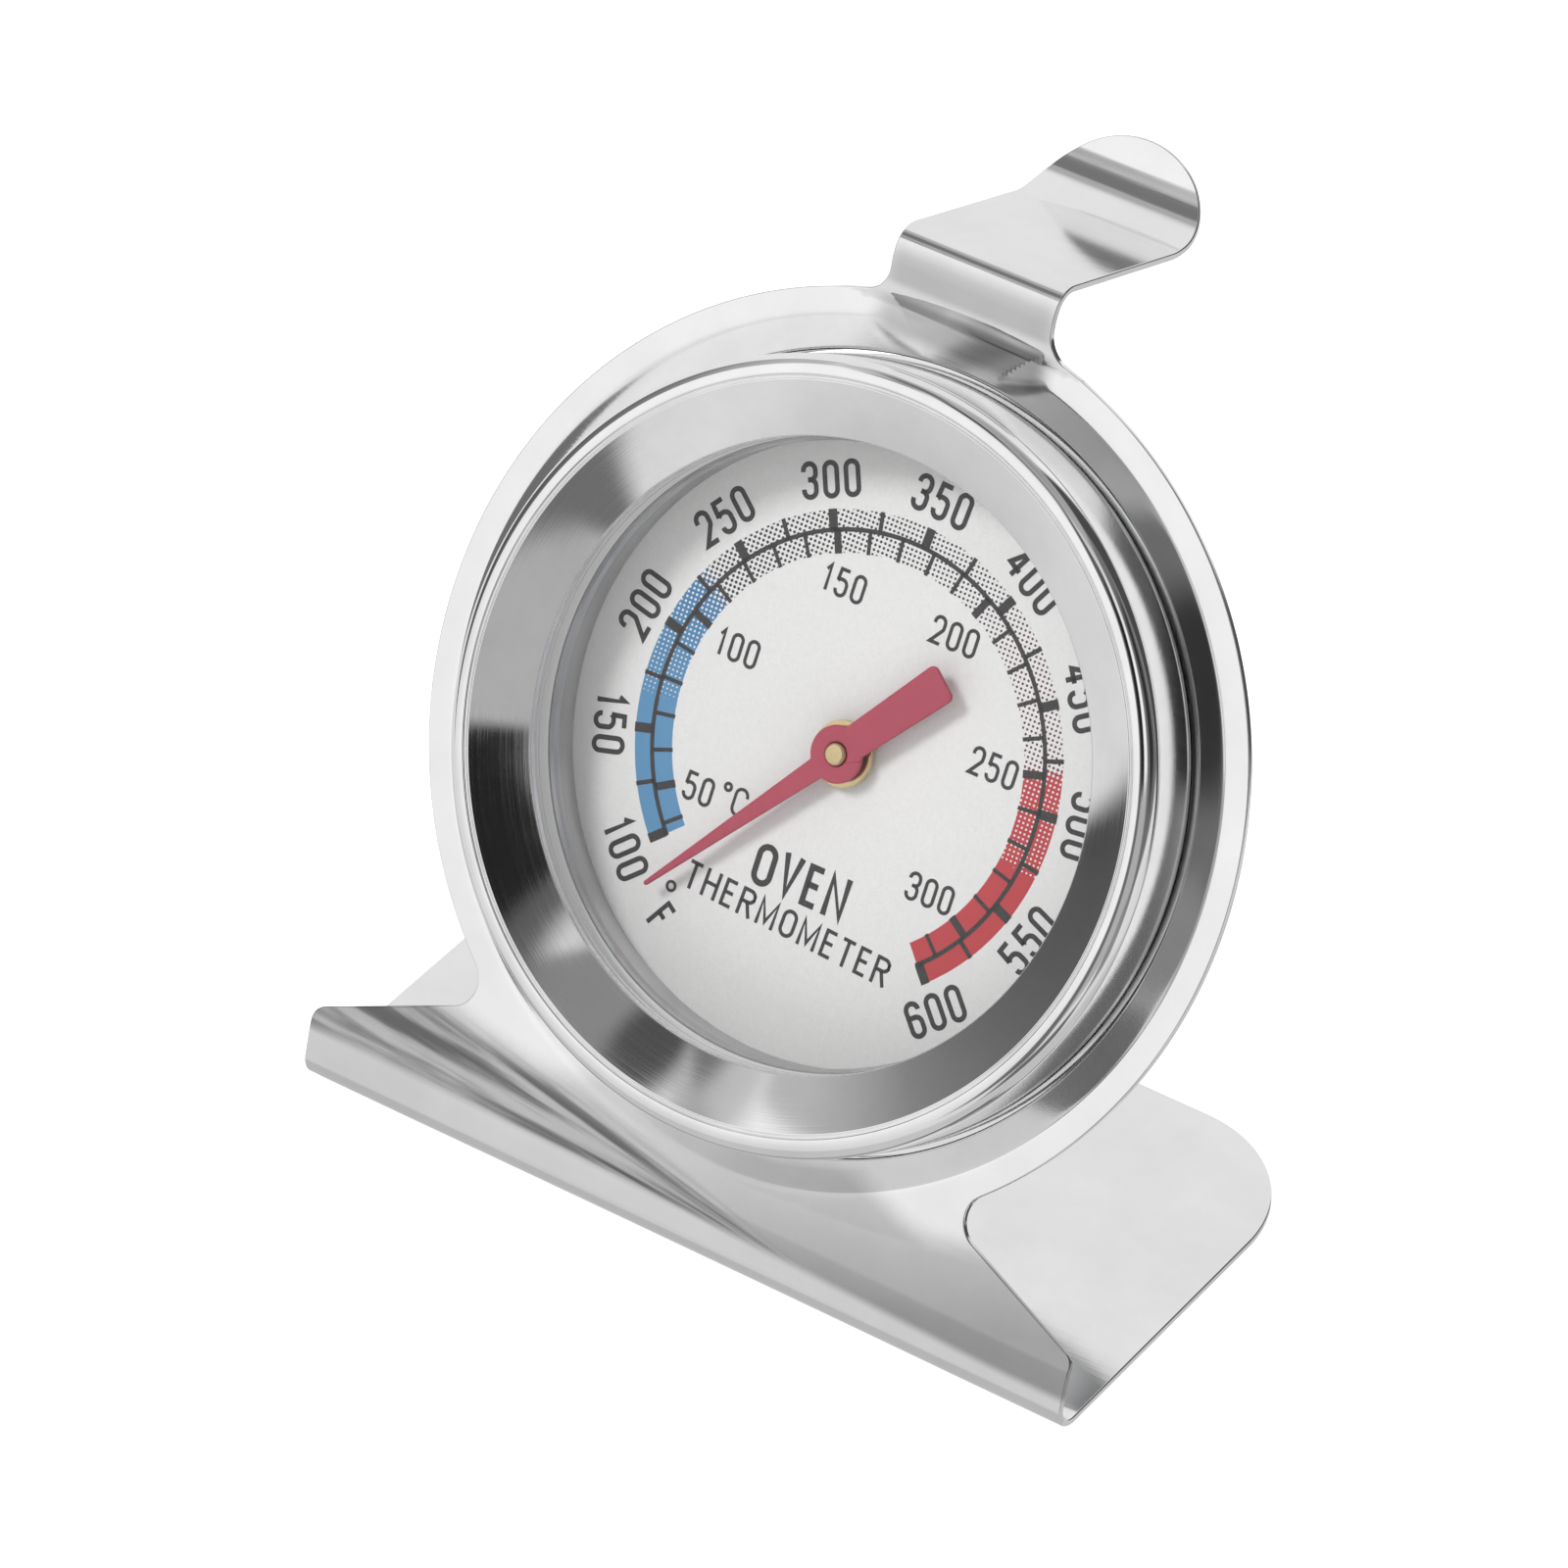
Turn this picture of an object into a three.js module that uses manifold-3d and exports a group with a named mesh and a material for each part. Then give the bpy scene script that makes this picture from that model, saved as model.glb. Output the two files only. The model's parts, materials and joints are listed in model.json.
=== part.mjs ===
// Oven thermometer: a bimetal dial gauge held in one stamped stainless stand, which rests on its
// folded foot or hangs by its hook from a rack wire.
//
// Millimetres, +Z up, +X to the right of a person reading the dial, +Y away from them.
// The origin is on the underside of the foot plate, straight below the centre of the dial.
//
// Nearly every piece is made in the dial's own frame, and one group leans that frame back. In it
// Y runs along the pointer's axis into the case, Z runs up the dial, and the origin is where the
// axis crosses the front face of the stand's flat ring. A section is a list of (radius, y) for a
// turned piece, and of (y, z) for the folded sheet.

import * as THREE from "three";
import { mergeVertices } from "three/addons/utils/BufferGeometryUtils.js";
import Module from "manifold-3d";

const wasm = await Module();
wasm.setup();

// ---- Driving dimensions ----------------------------------------------------------------------

const LEAN = THREE.MathUtils.degToRad(30.5); // how far the dial leans back from upright
const DIAL_HEIGHT = 30.5; // centre of the dial above the table
const RING_R = 30; // outer edge of the stand's flat ring: a 60 mm face
const HALF_WIDTH = 30; // the panel and the foot are as wide as the ring
const STAND_SHEET = 0.5;
const CLEARANCE = 0.3; // between neighbouring pieces

// The stand's dish, which drops from the flat ring to the collar round the gauge.
const DISH_OUTER_R = 28.2;
const COLLAR_R = 25.95;
const COLLAR_FRONT = 0.95;
const COLLAR_BACK = 2.3;

// The panel under the ring, with its lip, bend and foot.
const SHOULDER_Z = -29.4;
const SHOULDER_SLOPE = THREE.MathUtils.degToRad(22);
const SHOULDER_ROUND = 1;
const COVE_R = 1.9; // concave corner between the ring and the panel
const LIP_TOP_Z = -30.2;
const LIP_LEAN = THREE.MathUtils.degToRad(6);
const FOOT_BEND_R = 1.4;
const FOOT_BACK_Y = 14.7; // in the part's own frame
const FOOT_CORNER_R = 9.2;

// The hook on top: a strip that rises, turns back over the wire, and turns up at its round end.
const HOOK_HALF_WIDTH = 6.15;
const HOOK_ROOT_R = 2;
const NECK_FOOT = [0, 28.6];
const NECK_CORNER = [-1.5, 33.98];
const HOOK_CORNER = [15.7, 36.93];
const HOOK_CURL = [16.45, 41];
const HOOK_TIP = [17, 42.05];
const NECK_BEND_R = 2.6;
const HOOK_BEND_R = 4.5;
const CURL_BEND_R = 2;
const HOOK_ROUND_Z = 36.6; // the round end starts here

// Heights at which the sheet's outlines in different planes take over from each other.
const NECK_TOP_Z = 32;
const FACE_LOW_Z = -33;

// The gauge.
const CASE_R = 25.65; // outside of the bezel's skirt
const WINDOW_R = 20.42;
const BEZEL_SHEET = 0.4;
const CUP_SHEET = 0.5;
const CUP_MOUTH_R = 24.95;
const CAN_R = 21.5;
const CAN_BACK = 11.3;
const STACK_R = 24; // glass, rings and dial inside the cup's mouth
const GLASS = [-1.9, -0.7];
const LENS_SEAT = [-0.4, 0.8];
const SPACER = [1.1, 2.1];
const DIAL = [2.4, 2.9];
const BACKING = [3.2, 3.5];
const GASKET = [-3, -2.2];
const GASKET_RADII = [22.4, 24.6];
const RETAINER_R = 27.5;
const RETAINER = [2.6, 3.3];

// The movement.
const SPINDLE_R = 0.75;
const SPINDLE = [0.76, 11.6];
const BORE_R = SPINDLE_R + CLEARANCE;
const BUSH_R = 1.45;
const BUSH_HOLE_R = BUSH_R + CLEARANCE;
const BRIDGE_REACH = 17;
const BRIDGE_HALF_WIDTH = 3;
const RIVET_X = 18.6;
const RIVET_HOLE_R = 1.1;
const POST_Z = -11.7;
const POST_HOLE_R = 1;
const COIL = { y: [6, 8.6], innerR: 2.7, outerR: 10.3, turns: 4.75, strip: 0.3 };

// The pointer and the scale that it reads.
const DEGREES_PER_F = 0.54;
const ANGLE_AT_350F = 3.3; // clockwise from straight up
const ROOM_F = 82; // where the pointer rests
const POINTER = [1, 1.3];
const POINTER_TIP_R = 16.7;
const POINTER_TAIL_R = 9.2;
const HUB_R = 1.9;

// Facets round a full turn: outer pieces, inner pieces and small pieces.
const OUTER_SIDES = 64;
const INNER_SIDES = 40;
const SMALL_SIDES = 16;

// ---- Solids ----------------------------------------------------------------------------------

const WELD = 1e-4;

/** The closed solid that a geometry bounds. */
function solidOf(geometry) {
  const bare = geometry.index ? geometry.toNonIndexed() : geometry.clone();
  bare.deleteAttribute("normal");
  bare.deleteAttribute("uv");
  const merged = mergeVertices(bare, WELD);
  return new wasm.Manifold(
    new wasm.Mesh({
      numProp: 3,
      vertProperties: merged.attributes.position.array,
      triVerts: new Uint32Array(merged.index.array),
    }),
  );
}

/** The geometry of a solid. */
function geometryOf(solid) {
  const mesh = solid.getMesh();
  const geometry = new THREE.BufferGeometry();
  geometry.setAttribute("position", new THREE.BufferAttribute(mesh.vertProperties, 3));
  geometry.setIndex(new THREE.BufferAttribute(mesh.triVerts, 1));
  geometry.computeVertexNormals();
  return geometry;
}

function cut(geometry, tools) {
  return geometryOf(tools.reduce((left, tool) => left.subtract(solidOf(tool)), solidOf(geometry)));
}

// ---- Outlines --------------------------------------------------------------------------------

const point = ([a, b]) => new THREE.Vector2(a, b);

/** A line through the points, with the corners in `radii` (index: radius) rounded by arcs. */
function roundedLine(corners, radii, arcSteps) {
  const line = [];
  corners.map(point).forEach((corner, i, all) => {
    if (!radii[i]) {
      line.push(corner);
      return;
    }
    const back = all[i - 1].clone().sub(corner).normalize();
    const on = all[i + 1].clone().sub(corner).normalize();
    const half = Math.acos(THREE.MathUtils.clamp(back.dot(on), -1, 1)) / 2;
    const centre = corner
      .clone()
      .addScaledVector(back.clone().add(on).normalize(), radii[i] / Math.sin(half));
    const start = corner.clone().addScaledVector(back, radii[i] / Math.tan(half)).sub(centre);
    const turn = Math.sign(back.cross(on)) * (2 * half - Math.PI);
    for (let step = 0; step <= arcSteps; step += 1) {
      const arm = start.clone().rotateAround(new THREE.Vector2(), (turn * step) / arcSteps);
      line.push(arm.add(centre));
    }
  });
  return line;
}

/** The closed outline of a sheet whose outer face is `line`, with its thickness to the left. */
function sheetOutline(line, thickness) {
  const leftOf = (from, to) => new THREE.Vector2(from.y - to.y, to.x - from.x).normalize();
  const inner = line.map((p, i) => {
    const before = i > 0 ? leftOf(line[i - 1], p) : leftOf(p, line[1]);
    const after = i < line.length - 1 ? leftOf(p, line[i + 1]) : before;
    const mitre = before.clone().add(after).normalize();
    return p.clone().addScaledVector(mitre, thickness / mitre.dot(before));
  });
  return [...line, ...inner.reverse()];
}

/** A piece turned about the dial's axis from a closed (radius, y) outline. */
function turned(outline, sides) {
  const loop = THREE.ShapeUtils.isClockWise(outline) ? outline.slice().reverse() : outline.slice();
  return new THREE.LatheGeometry([...loop, loop[0]], sides);
}

/** A ring of rectangular section. */
function flatRing(innerR, outerR, [front, back], sides) {
  const corners = [[innerR, front], [outerR, front], [outerR, back], [innerR, back]];
  return turned(corners.map(point), sides);
}

/** A solid turned piece, from (radius, y) points that start and end on the axis, front first. */
function turnedBar(points, sides) {
  return new THREE.LatheGeometry(points.map(point), sides);
}

/** A piece cut from the (x, z) plane of the dial, between two depths. */
function plate(shape, [front, back], curveSegments) {
  const geometry = new THREE.ExtrudeGeometry(shape, {
    depth: back - front,
    bevelEnabled: false,
    curveSegments,
  });
  const basis = new THREE.Matrix4().makeBasis(
    new THREE.Vector3(1, 0, 0),
    new THREE.Vector3(0, 0, 1),
    new THREE.Vector3(0, -1, 0),
  );
  return geometry.applyMatrix4(basis).translate(0, back, 0);
}

/** A piece of constant (y, z) section that reaches `halfWidth` to each side. */
function foldedStrip(outline, halfWidth) {
  const geometry = new THREE.ExtrudeGeometry(new THREE.Shape(outline), {
    depth: 2 * halfWidth,
    bevelEnabled: false,
  });
  const basis = new THREE.Matrix4().makeBasis(
    new THREE.Vector3(0, 1, 0),
    new THREE.Vector3(0, 0, 1),
    new THREE.Vector3(1, 0, 0),
  );
  return geometry.applyMatrix4(basis).translate(-halfWidth, 0, 0);
}

function hole(radius, x, z, [front, back], sides = SMALL_SIDES) {
  return new THREE.CylinderGeometry(radius, radius, back - front, sides).translate(
    x,
    (front + back) / 2,
    z,
  );
}

// ---- Stand -----------------------------------------------------------------------------------

/** Where a round of radius r touches both the ring's edge and the sloping shoulder. */
function coveCentre(r) {
  const along = point([-Math.cos(SHOULDER_SLOPE), Math.sin(SHOULDER_SLOPE)]);
  const start = point([
    HALF_WIDTH + r * Math.sin(SHOULDER_SLOPE),
    SHOULDER_Z + r * Math.cos(SHOULDER_SLOPE),
  ]);
  const reach = RING_R + r;
  const middle = -start.dot(along);
  const chord = Math.sqrt(middle ** 2 - start.lengthSq() + reach ** 2);
  return start.addScaledVector(along, middle - chord);
}

/** Front view of the ring and the flared panel, with the root of the hook's neck. */
function faceOutline() {
  const cove = coveCentre(COVE_R);
  const coveTop = cove.angle() + Math.PI; // towards the ring's centre
  const coveLow = (3 * Math.PI) / 2 - SHOULDER_SLOPE;
  const rootX = HOOK_HALF_WIDTH + HOOK_ROOT_R;
  const rootZ = Math.sqrt((RING_R + HOOK_ROOT_R) ** 2 - rootX ** 2);
  const rootAngle = Math.atan2(rootZ, rootX);
  const shoulderArc = Math.PI / 2 - SHOULDER_SLOPE;
  const shoulderX = HALF_WIDTH - SHOULDER_ROUND;
  const shoulderZ = SHOULDER_Z - SHOULDER_ROUND * Math.tan(shoulderArc / 2);

  const shape = new THREE.Shape();
  shape.moveTo(-HALF_WIDTH, FACE_LOW_Z);
  shape.lineTo(HALF_WIDTH, FACE_LOW_Z);
  shape.absarc(shoulderX, shoulderZ, SHOULDER_ROUND, 0, shoulderArc, false);
  shape.absarc(cove.x, cove.y, COVE_R, coveLow, coveTop, true);
  shape.absarc(0, 0, RING_R, cove.angle(), rootAngle, false);
  shape.absarc(rootX, rootZ, HOOK_ROOT_R, rootAngle + Math.PI, Math.PI, true);
  shape.lineTo(HOOK_HALF_WIDTH, NECK_TOP_Z);
  shape.lineTo(-HOOK_HALF_WIDTH, NECK_TOP_Z);
  shape.absarc(-rootX, rootZ, HOOK_ROOT_R, 0, -rootAngle, true);
  shape.absarc(0, 0, RING_R, Math.PI - rootAngle, Math.PI - cove.angle(), false);
  shape.absarc(-cove.x, cove.y, COVE_R, -cove.angle(), Math.PI - coveLow, true);
  shape.absarc(-shoulderX, shoulderZ, SHOULDER_ROUND, Math.PI - shoulderArc, Math.PI, false);
  return shape;
}

/** Front view of the hook's strip, with its round end. */
function hookOutline() {
  const shape = new THREE.Shape();
  shape.moveTo(-HOOK_HALF_WIDTH, NECK_TOP_Z - 1);
  shape.lineTo(HOOK_HALF_WIDTH, NECK_TOP_Z - 1);
  shape.absellipse(
    0,
    HOOK_ROUND_Z,
    HOOK_HALF_WIDTH,
    HOOK_TIP[1] - HOOK_ROUND_Z,
    0,
    Math.PI,
    false,
    0,
  );
  return shape;
}

/** Plan of the foot, from just behind the bend to its round back corners. */
function footOutline(frontY) {
  const inset = HALF_WIDTH - FOOT_CORNER_R;
  const cornerY = FOOT_BACK_Y - FOOT_CORNER_R;
  const shape = new THREE.Shape();
  shape.moveTo(-HALF_WIDTH, frontY);
  shape.lineTo(HALF_WIDTH, frontY);
  shape.absarc(inset, cornerY, FOOT_CORNER_R, 0, Math.PI / 2, false);
  shape.absarc(-inset, cornerY, FOOT_CORNER_R, Math.PI / 2, Math.PI, false);
  return shape;
}

/** Where the line down the lip meets the table, in the dial's (y, z). */
function footCorner() {
  const tableZ = -DIAL_HEIGHT / Math.cos(LEAN);
  const fall = Math.tan(LIP_LEAN);
  const y = (fall * (LIP_TOP_Z - tableZ)) / (1 + fall * Math.tan(LEAN));
  return [y, tableZ + y * Math.tan(LEAN)];
}

/** Section of the whole sheet, from the hook's tip to past the foot's back edge. */
function standSection() {
  const corner = footCorner();
  const reach = 2 * HALF_WIDTH;
  const pastFoot = [corner[0] + reach * Math.cos(LEAN), corner[1] + reach * Math.sin(LEAN)];
  const corners = [
    HOOK_TIP,
    HOOK_CURL,
    HOOK_CORNER,
    NECK_CORNER,
    NECK_FOOT,
    [0, LIP_TOP_Z],
    corner,
    pastFoot,
  ];
  const radii = { 1: CURL_BEND_R, 2: HOOK_BEND_R, 3: NECK_BEND_R, 6: FOOT_BEND_R };
  return sheetOutline(roundedLine(corners, radii, 5), STAND_SHEET);
}

/** The dish and collar, pressed back from the flat ring. */
function dish() {
  const overlap = 0.6;
  const line = [
    [COLLAR_R, COLLAR_BACK],
    [COLLAR_R, COLLAR_FRONT],
    [DISH_OUTER_R, 0],
    [DISH_OUTER_R + overlap, 0],
  ];
  return turned(sheetOutline(line.map(point), STAND_SHEET), OUTER_SIDES);
}

/** The space round the foot that its plan keeps, tilted into the dial's frame. */
function footSpace() {
  const [y, z] = footCorner();
  const bendBack = y * Math.cos(LEAN) + z * Math.sin(LEAN) + 2 * FOOT_BEND_R;
  const geometry = new THREE.ExtrudeGeometry(footOutline(bendBack), {
    depth: 4 * STAND_SHEET,
    bevelEnabled: false,
    curveSegments: 8,
  });
  return geometry.translate(0, 0, -DIAL_HEIGHT - STAND_SHEET).rotateX(LEAN);
}

/** The folded sheet cut to its outlines, opened for the gauge, with the dish joined in. */
function standPlate() {
  const sheet = solidOf(foldedStrip(standSection(), HALF_WIDTH + 1));
  const face = solidOf(plate(faceOutline(), [-3, 1.2], 12));
  const hook = solidOf(plate(hookOutline(), [-3, 20], 12));
  const heel = solidOf(
    new THREE.BoxGeometry(2 * HALF_WIDTH, 8, 6).translate(0, 2, FACE_LOW_Z - 2),
  );
  const keep = face.add(hook).add(heel).add(solidOf(footSpace()));
  const opening = solidOf(hole(DISH_OUTER_R + 0.3, 0, 0, [-3, 4], OUTER_SIDES));
  return geometryOf(sheet.intersect(keep).subtract(opening).add(solidOf(dish())));
}

// ---- Case ------------------------------------------------------------------------------------

function bezelRing() {
  const line = roundedLine(
    [
      [WINDOW_R, -2.65],
      [24, -5.2],
      [CASE_R, -4.6],
      [CASE_R, 5.1],
      [23.7, 5.1],
    ],
    { 1: 0.6, 2: 0.7, 3: 0.7 },
    2,
  );
  return turned(sheetOutline(line, BEZEL_SHEET), OUTER_SIDES);
}

/** A slot along an arc of the cup's floor, with round ends. */
function ventSlot(angle) {
  const radius = 15.4;
  const halfWidth = 1.2;
  const halfSpan = THREE.MathUtils.degToRad(17);
  const end = (side) => point([radius, 0]).rotateAround(new THREE.Vector2(), angle + side * halfSpan);
  const start = angle - halfSpan;
  const stop = angle + halfSpan;
  const shape = new THREE.Shape();
  shape.absarc(0, 0, radius + halfWidth, start, stop, false);
  shape.absarc(end(1).x, end(1).y, halfWidth, stop, stop + Math.PI, false);
  shape.absarc(0, 0, radius - halfWidth, stop, start, true);
  shape.absarc(end(-1).x, end(-1).y, halfWidth, start + Math.PI, start + 2 * Math.PI, false);
  return plate(shape, [CAN_BACK - 1, CAN_BACK + 1], 4);
}

function caseCup() {
  const shoulder = 4.3;
  const line = roundedLine(
    [
      [CUP_MOUTH_R, -0.6],
      [CUP_MOUTH_R, shoulder],
      [CAN_R, shoulder],
      [CAN_R, CAN_BACK],
      [BUSH_HOLE_R, CAN_BACK],
    ],
    { 1: 0.8, 2: 0.5, 3: 1 },
    2,
  );
  const floor = [CAN_BACK - 1, CAN_BACK + 1];
  const vents = [0, 1, 2, 3, 4, 5].map((i) => ventSlot(((i + 0.5) * Math.PI) / 3));
  const holes = [
    hole(RIVET_HOLE_R, RIVET_X, 0, floor),
    hole(RIVET_HOLE_R, -RIVET_X, 0, floor),
    hole(POST_HOLE_R, 0, POST_Z, floor),
  ];
  return cut(turned(sheetOutline(line, CUP_SHEET), INNER_SIDES), [...vents, ...holes]);
}

function lensGlass() {
  const [front, back] = GLASS;
  const points = [
    [0, front],
    [STACK_R, front],
    [STACK_R, back],
    [0, back],
  ];
  return turnedBar(points, INNER_SIDES);
}

/** The ring the glass rests on, with a rounded bead towards the window. */
function lensSeatRing() {
  const [front, back] = LENS_SEAT;
  const beadR = WINDOW_R - 0.3;
  const outline = roundedLine(
    [[STACK_R, front], [beadR, front], [beadR, back], [STACK_R, back]],
    { 1: 0.5, 2: 0.5 },
    2,
  );
  return turned(outline, INNER_SIDES);
}

// ---- Movement --------------------------------------------------------------------------------

/** A bush: a tube with a flange at its front end. */
function bush(flangeR, front, flangeBack, back) {
  const corners = [
    [BORE_R, front],
    [flangeR, front],
    [flangeR, flangeBack],
    [BUSH_R, flangeBack],
    [BUSH_R, back],
    [BORE_R, back],
  ];
  return turned(corners.map(point), SMALL_SIDES);
}

/** The U-shaped bridge that carries the front bush, with a lug for a rivet at each end. */
function movementBridge() {
  const front = 3.3;
  const floor = CAN_BACK - CUP_SHEET - CLEARANCE;
  const lugX = BRIDGE_REACH + 3.3;
  const lugFront = floor - CUP_SHEET;
  const outer = [
    [-lugX, lugFront],
    [-BRIDGE_REACH, lugFront],
    [-BRIDGE_REACH, front],
    [BRIDGE_REACH, front],
    [BRIDGE_REACH, lugFront],
    [lugX, lugFront],
  ];
  const section = new THREE.Shape(sheetOutline(outer.map(point), CUP_SHEET));
  const strip = new THREE.ExtrudeGeometry(section, {
    depth: 2 * BRIDGE_HALF_WIDTH,
    bevelEnabled: false,
  }).translate(0, 0, -BRIDGE_HALF_WIDTH);
  const lugHole = [floor - 1, floor + 1];
  return cut(strip, [
    hole(BUSH_HOLE_R, 0, 0, [front - 1, front + 1]),
    hole(RIVET_HOLE_R, RIVET_X, 0, lugHole),
    hole(RIVET_HOLE_R, -RIVET_X, 0, lugHole),
  ]);
}

/** A rivet from the bridge's lug through the cup's floor, with a head on each side. */
function bridgeRivet(x) {
  const shankR = RIVET_HOLE_R - CLEARANCE;
  const floorBack = CAN_BACK + CLEARANCE;
  const bar = turnedBar(
    [
      [0, 9.1],
      [0.8, 9.1],
      [1.2, 9.4],
      [1.2, 9.7],
      [shankR, 9.7],
      [shankR, floorBack],
      [1.7, floorBack],
      [1.5, floorBack + 0.4],
      [0, floorBack + 0.6],
    ],
    SMALL_SIDES,
  );
  return bar.translate(x, 0, 0);
}

/** The post that holds the coil's outer end, riveted through the cup's floor. */
function anchorPost() {
  const shankR = POST_HOLE_R - CLEARANCE;
  const floorFront = CAN_BACK - CUP_SHEET - CLEARANCE;
  const floorBack = CAN_BACK + CLEARANCE;
  const bar = turnedBar(
    [
      [0, 5.4],
      [0.7, 5.4],
      [0.9, 5.6],
      [0.9, floorFront],
      [shankR, floorFront],
      [shankR, floorBack],
      [1.4, floorBack],
      [1.2, floorBack + 0.4],
      [0, floorBack + 0.5],
    ],
    SMALL_SIDES,
  );
  return bar.translate(0, 0, POST_Z);
}

/** The bimetal strip, wound in a flat spiral whose outer end comes to the anchor post. */
function bimetalCoil() {
  const stepsPerTurn = 24;
  const steps = COIL.turns * stepsPerTurn;
  const endAngle = -Math.PI / 2;
  const side = (offset) =>
    Array.from({ length: steps + 1 }, (_, i) => {
      const radius = COIL.innerR + ((COIL.outerR - COIL.innerR) * i) / steps + offset;
      const angle = endAngle - ((steps - i) / stepsPerTurn) * 2 * Math.PI;
      return point([radius * Math.cos(angle), radius * Math.sin(angle)]);
    });
  const outline = [...side(COIL.strip / 2), ...side(-COIL.strip / 2).reverse()];
  return plate(new THREE.Shape(outline), COIL.y, 1);
}

// ---- Pointer ---------------------------------------------------------------------------------

/** The pointer's outline, aimed straight up the dial. */
function pointerShape() {
  const tipHalf = 0.16;
  const rootHalf = 0.72;
  const neckHalf = 1.12;
  const tailHalf = 1.34;
  const tailRound = 0.45;
  const upRoot = Math.sqrt(HUB_R ** 2 - rootHalf ** 2);
  const downRoot = -Math.sqrt(HUB_R ** 2 - neckHalf ** 2);
  const hubTop = Math.atan2(upRoot, rootHalf);
  const hubLow = Math.atan2(downRoot, neckHalf);
  const shape = new THREE.Shape();
  shape.moveTo(tipHalf, POINTER_TIP_R - tipHalf);
  shape.absarc(0, POINTER_TIP_R - tipHalf, tipHalf, 0, Math.PI, false);
  shape.absarc(0, 0, HUB_R, Math.PI - hubTop, Math.PI - hubLow, false);
  shape.lineTo(-tailHalf, -POINTER_TAIL_R + tailRound);
  shape.lineTo(-tailHalf + tailRound, -POINTER_TAIL_R);
  shape.lineTo(tailHalf - tailRound, -POINTER_TAIL_R);
  shape.lineTo(tailHalf, -POINTER_TAIL_R + tailRound);
  shape.absarc(0, 0, HUB_R, hubLow, hubTop, false);
  shape.holes.push(new THREE.Path().absarc(0, 0, BORE_R, 0, 2 * Math.PI, true));
  return shape;
}

/** The spindle, whose front end shows in the middle of the pointer. */
function spindle() {
  const [front, back] = SPINDLE;
  const chamfer = 0.15;
  const points = [
    [0, front],
    [SPINDLE_R - chamfer, front],
    [SPINDLE_R, front + chamfer],
    [SPINDLE_R, back],
    [0, back],
  ];
  return turnedBar(points, SMALL_SIDES);
}

/** The spring clip that keeps the spindle in the front bush, open at one side. */
function spindleClip() {
  const halfGap = THREE.MathUtils.degToRad(32);
  const shape = new THREE.Shape();
  shape.absarc(0, 0, 1.95, halfGap, 2 * Math.PI - halfGap, false);
  shape.absarc(0, 0, BORE_R, 2 * Math.PI - halfGap, halfGap, true);
  return plate(shape, [4.95, 5.3], 10);
}

// ---- Assembly --------------------------------------------------------------------------------

const FINISHES = {
  stainless: { color: 0xc9cbcd, roughness: 0.18, metalness: 1 },
  dullSteel: { color: 0x9c9fa2, roughness: 0.45, metalness: 1 },
  brass: { color: 0xd6b56c, roughness: 0.3, metalness: 1 },
  bimetal: { color: 0xa58f78, roughness: 0.4, metalness: 1 },
  glass: { color: 0xf4f7f7, roughness: 0.05, metalness: 0, transparent: true, opacity: 0.25 },
  dialWhite: { color: 0xe6e6e4, roughness: 0.6, metalness: 0 },
  red: { color: 0xc0505f, roughness: 0.45, metalness: 0 },
  fibre: { color: 0xb9b5aa, roughness: 0.8, metalness: 0 },
};

function piece(name, geometry, finish) {
  const mesh = new THREE.Mesh(geometry, new THREE.MeshStandardMaterial(FINISHES[finish]));
  mesh.name = name;
  return mesh;
}

const gauge = new THREE.Group();
gauge.add(
  piece("stand_plate", standPlate(), "stainless"),
  piece("bezel_ring", bezelRing(), "stainless"),
  piece("lens_gasket", flatRing(...GASKET_RADII, GASKET, INNER_SIDES), "fibre"),
  piece("lens_glass", lensGlass(), "glass"),
  piece("lens_seat_ring", lensSeatRing(), "stainless"),
  piece("dial_spacer_ring", flatRing(WINDOW_R + 0.1, STACK_R, SPACER, INNER_SIDES), "stainless"),
  piece("dial_plate", flatRing(BUSH_HOLE_R, STACK_R, DIAL, INNER_SIDES), "dialWhite"),
  piece("dial_backing_ring", flatRing(21.4, STACK_R, BACKING, INNER_SIDES), "dullSteel"),
  piece("case_cup", caseCup(), "stainless"),
  piece("case_retaining_ring", flatRing(CASE_R + CLEARANCE, RETAINER_R, RETAINER, INNER_SIDES), "dullSteel"),
  piece("dial_bush", bush(2.2, 1.75, 2.1, 4.6), "brass"),
  piece("movement_bridge", movementBridge(), "dullSteel"),
  piece("bridge_rivet_left", bridgeRivet(-RIVET_X), "dullSteel"),
  piece("bridge_rivet_right", bridgeRivet(RIVET_X), "dullSteel"),
  piece("coil_anchor_post", anchorPost(), "dullSteel"),
  piece("bimetal_coil", bimetalCoil(), "bimetal"),
  piece("rear_bush", bush(2.4, 10.1, 10.5, 11.9), "brass"),
);

const pointerArm = new THREE.Group();
pointerArm.rotation.y = THREE.MathUtils.degToRad(ANGLE_AT_350F + DEGREES_PER_F * (ROOM_F - 350));
pointerArm.add(
  piece("pointer", plate(pointerShape(), POINTER, 10), "red"),
  piece("spindle", spindle(), "brass"),
  piece("spindle_clip", spindleClip(), "dullSteel"),
  piece("spindle_collar", flatRing(BORE_R, 2.2, [6.2, 8.4], SMALL_SIDES), "brass"),
);
gauge.add(pointerArm);

gauge.rotation.x = -LEAN;
gauge.position.z = DIAL_HEIGHT;

const thermometer = new THREE.Group();
thermometer.add(gauge);

export default thermometer;
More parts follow.
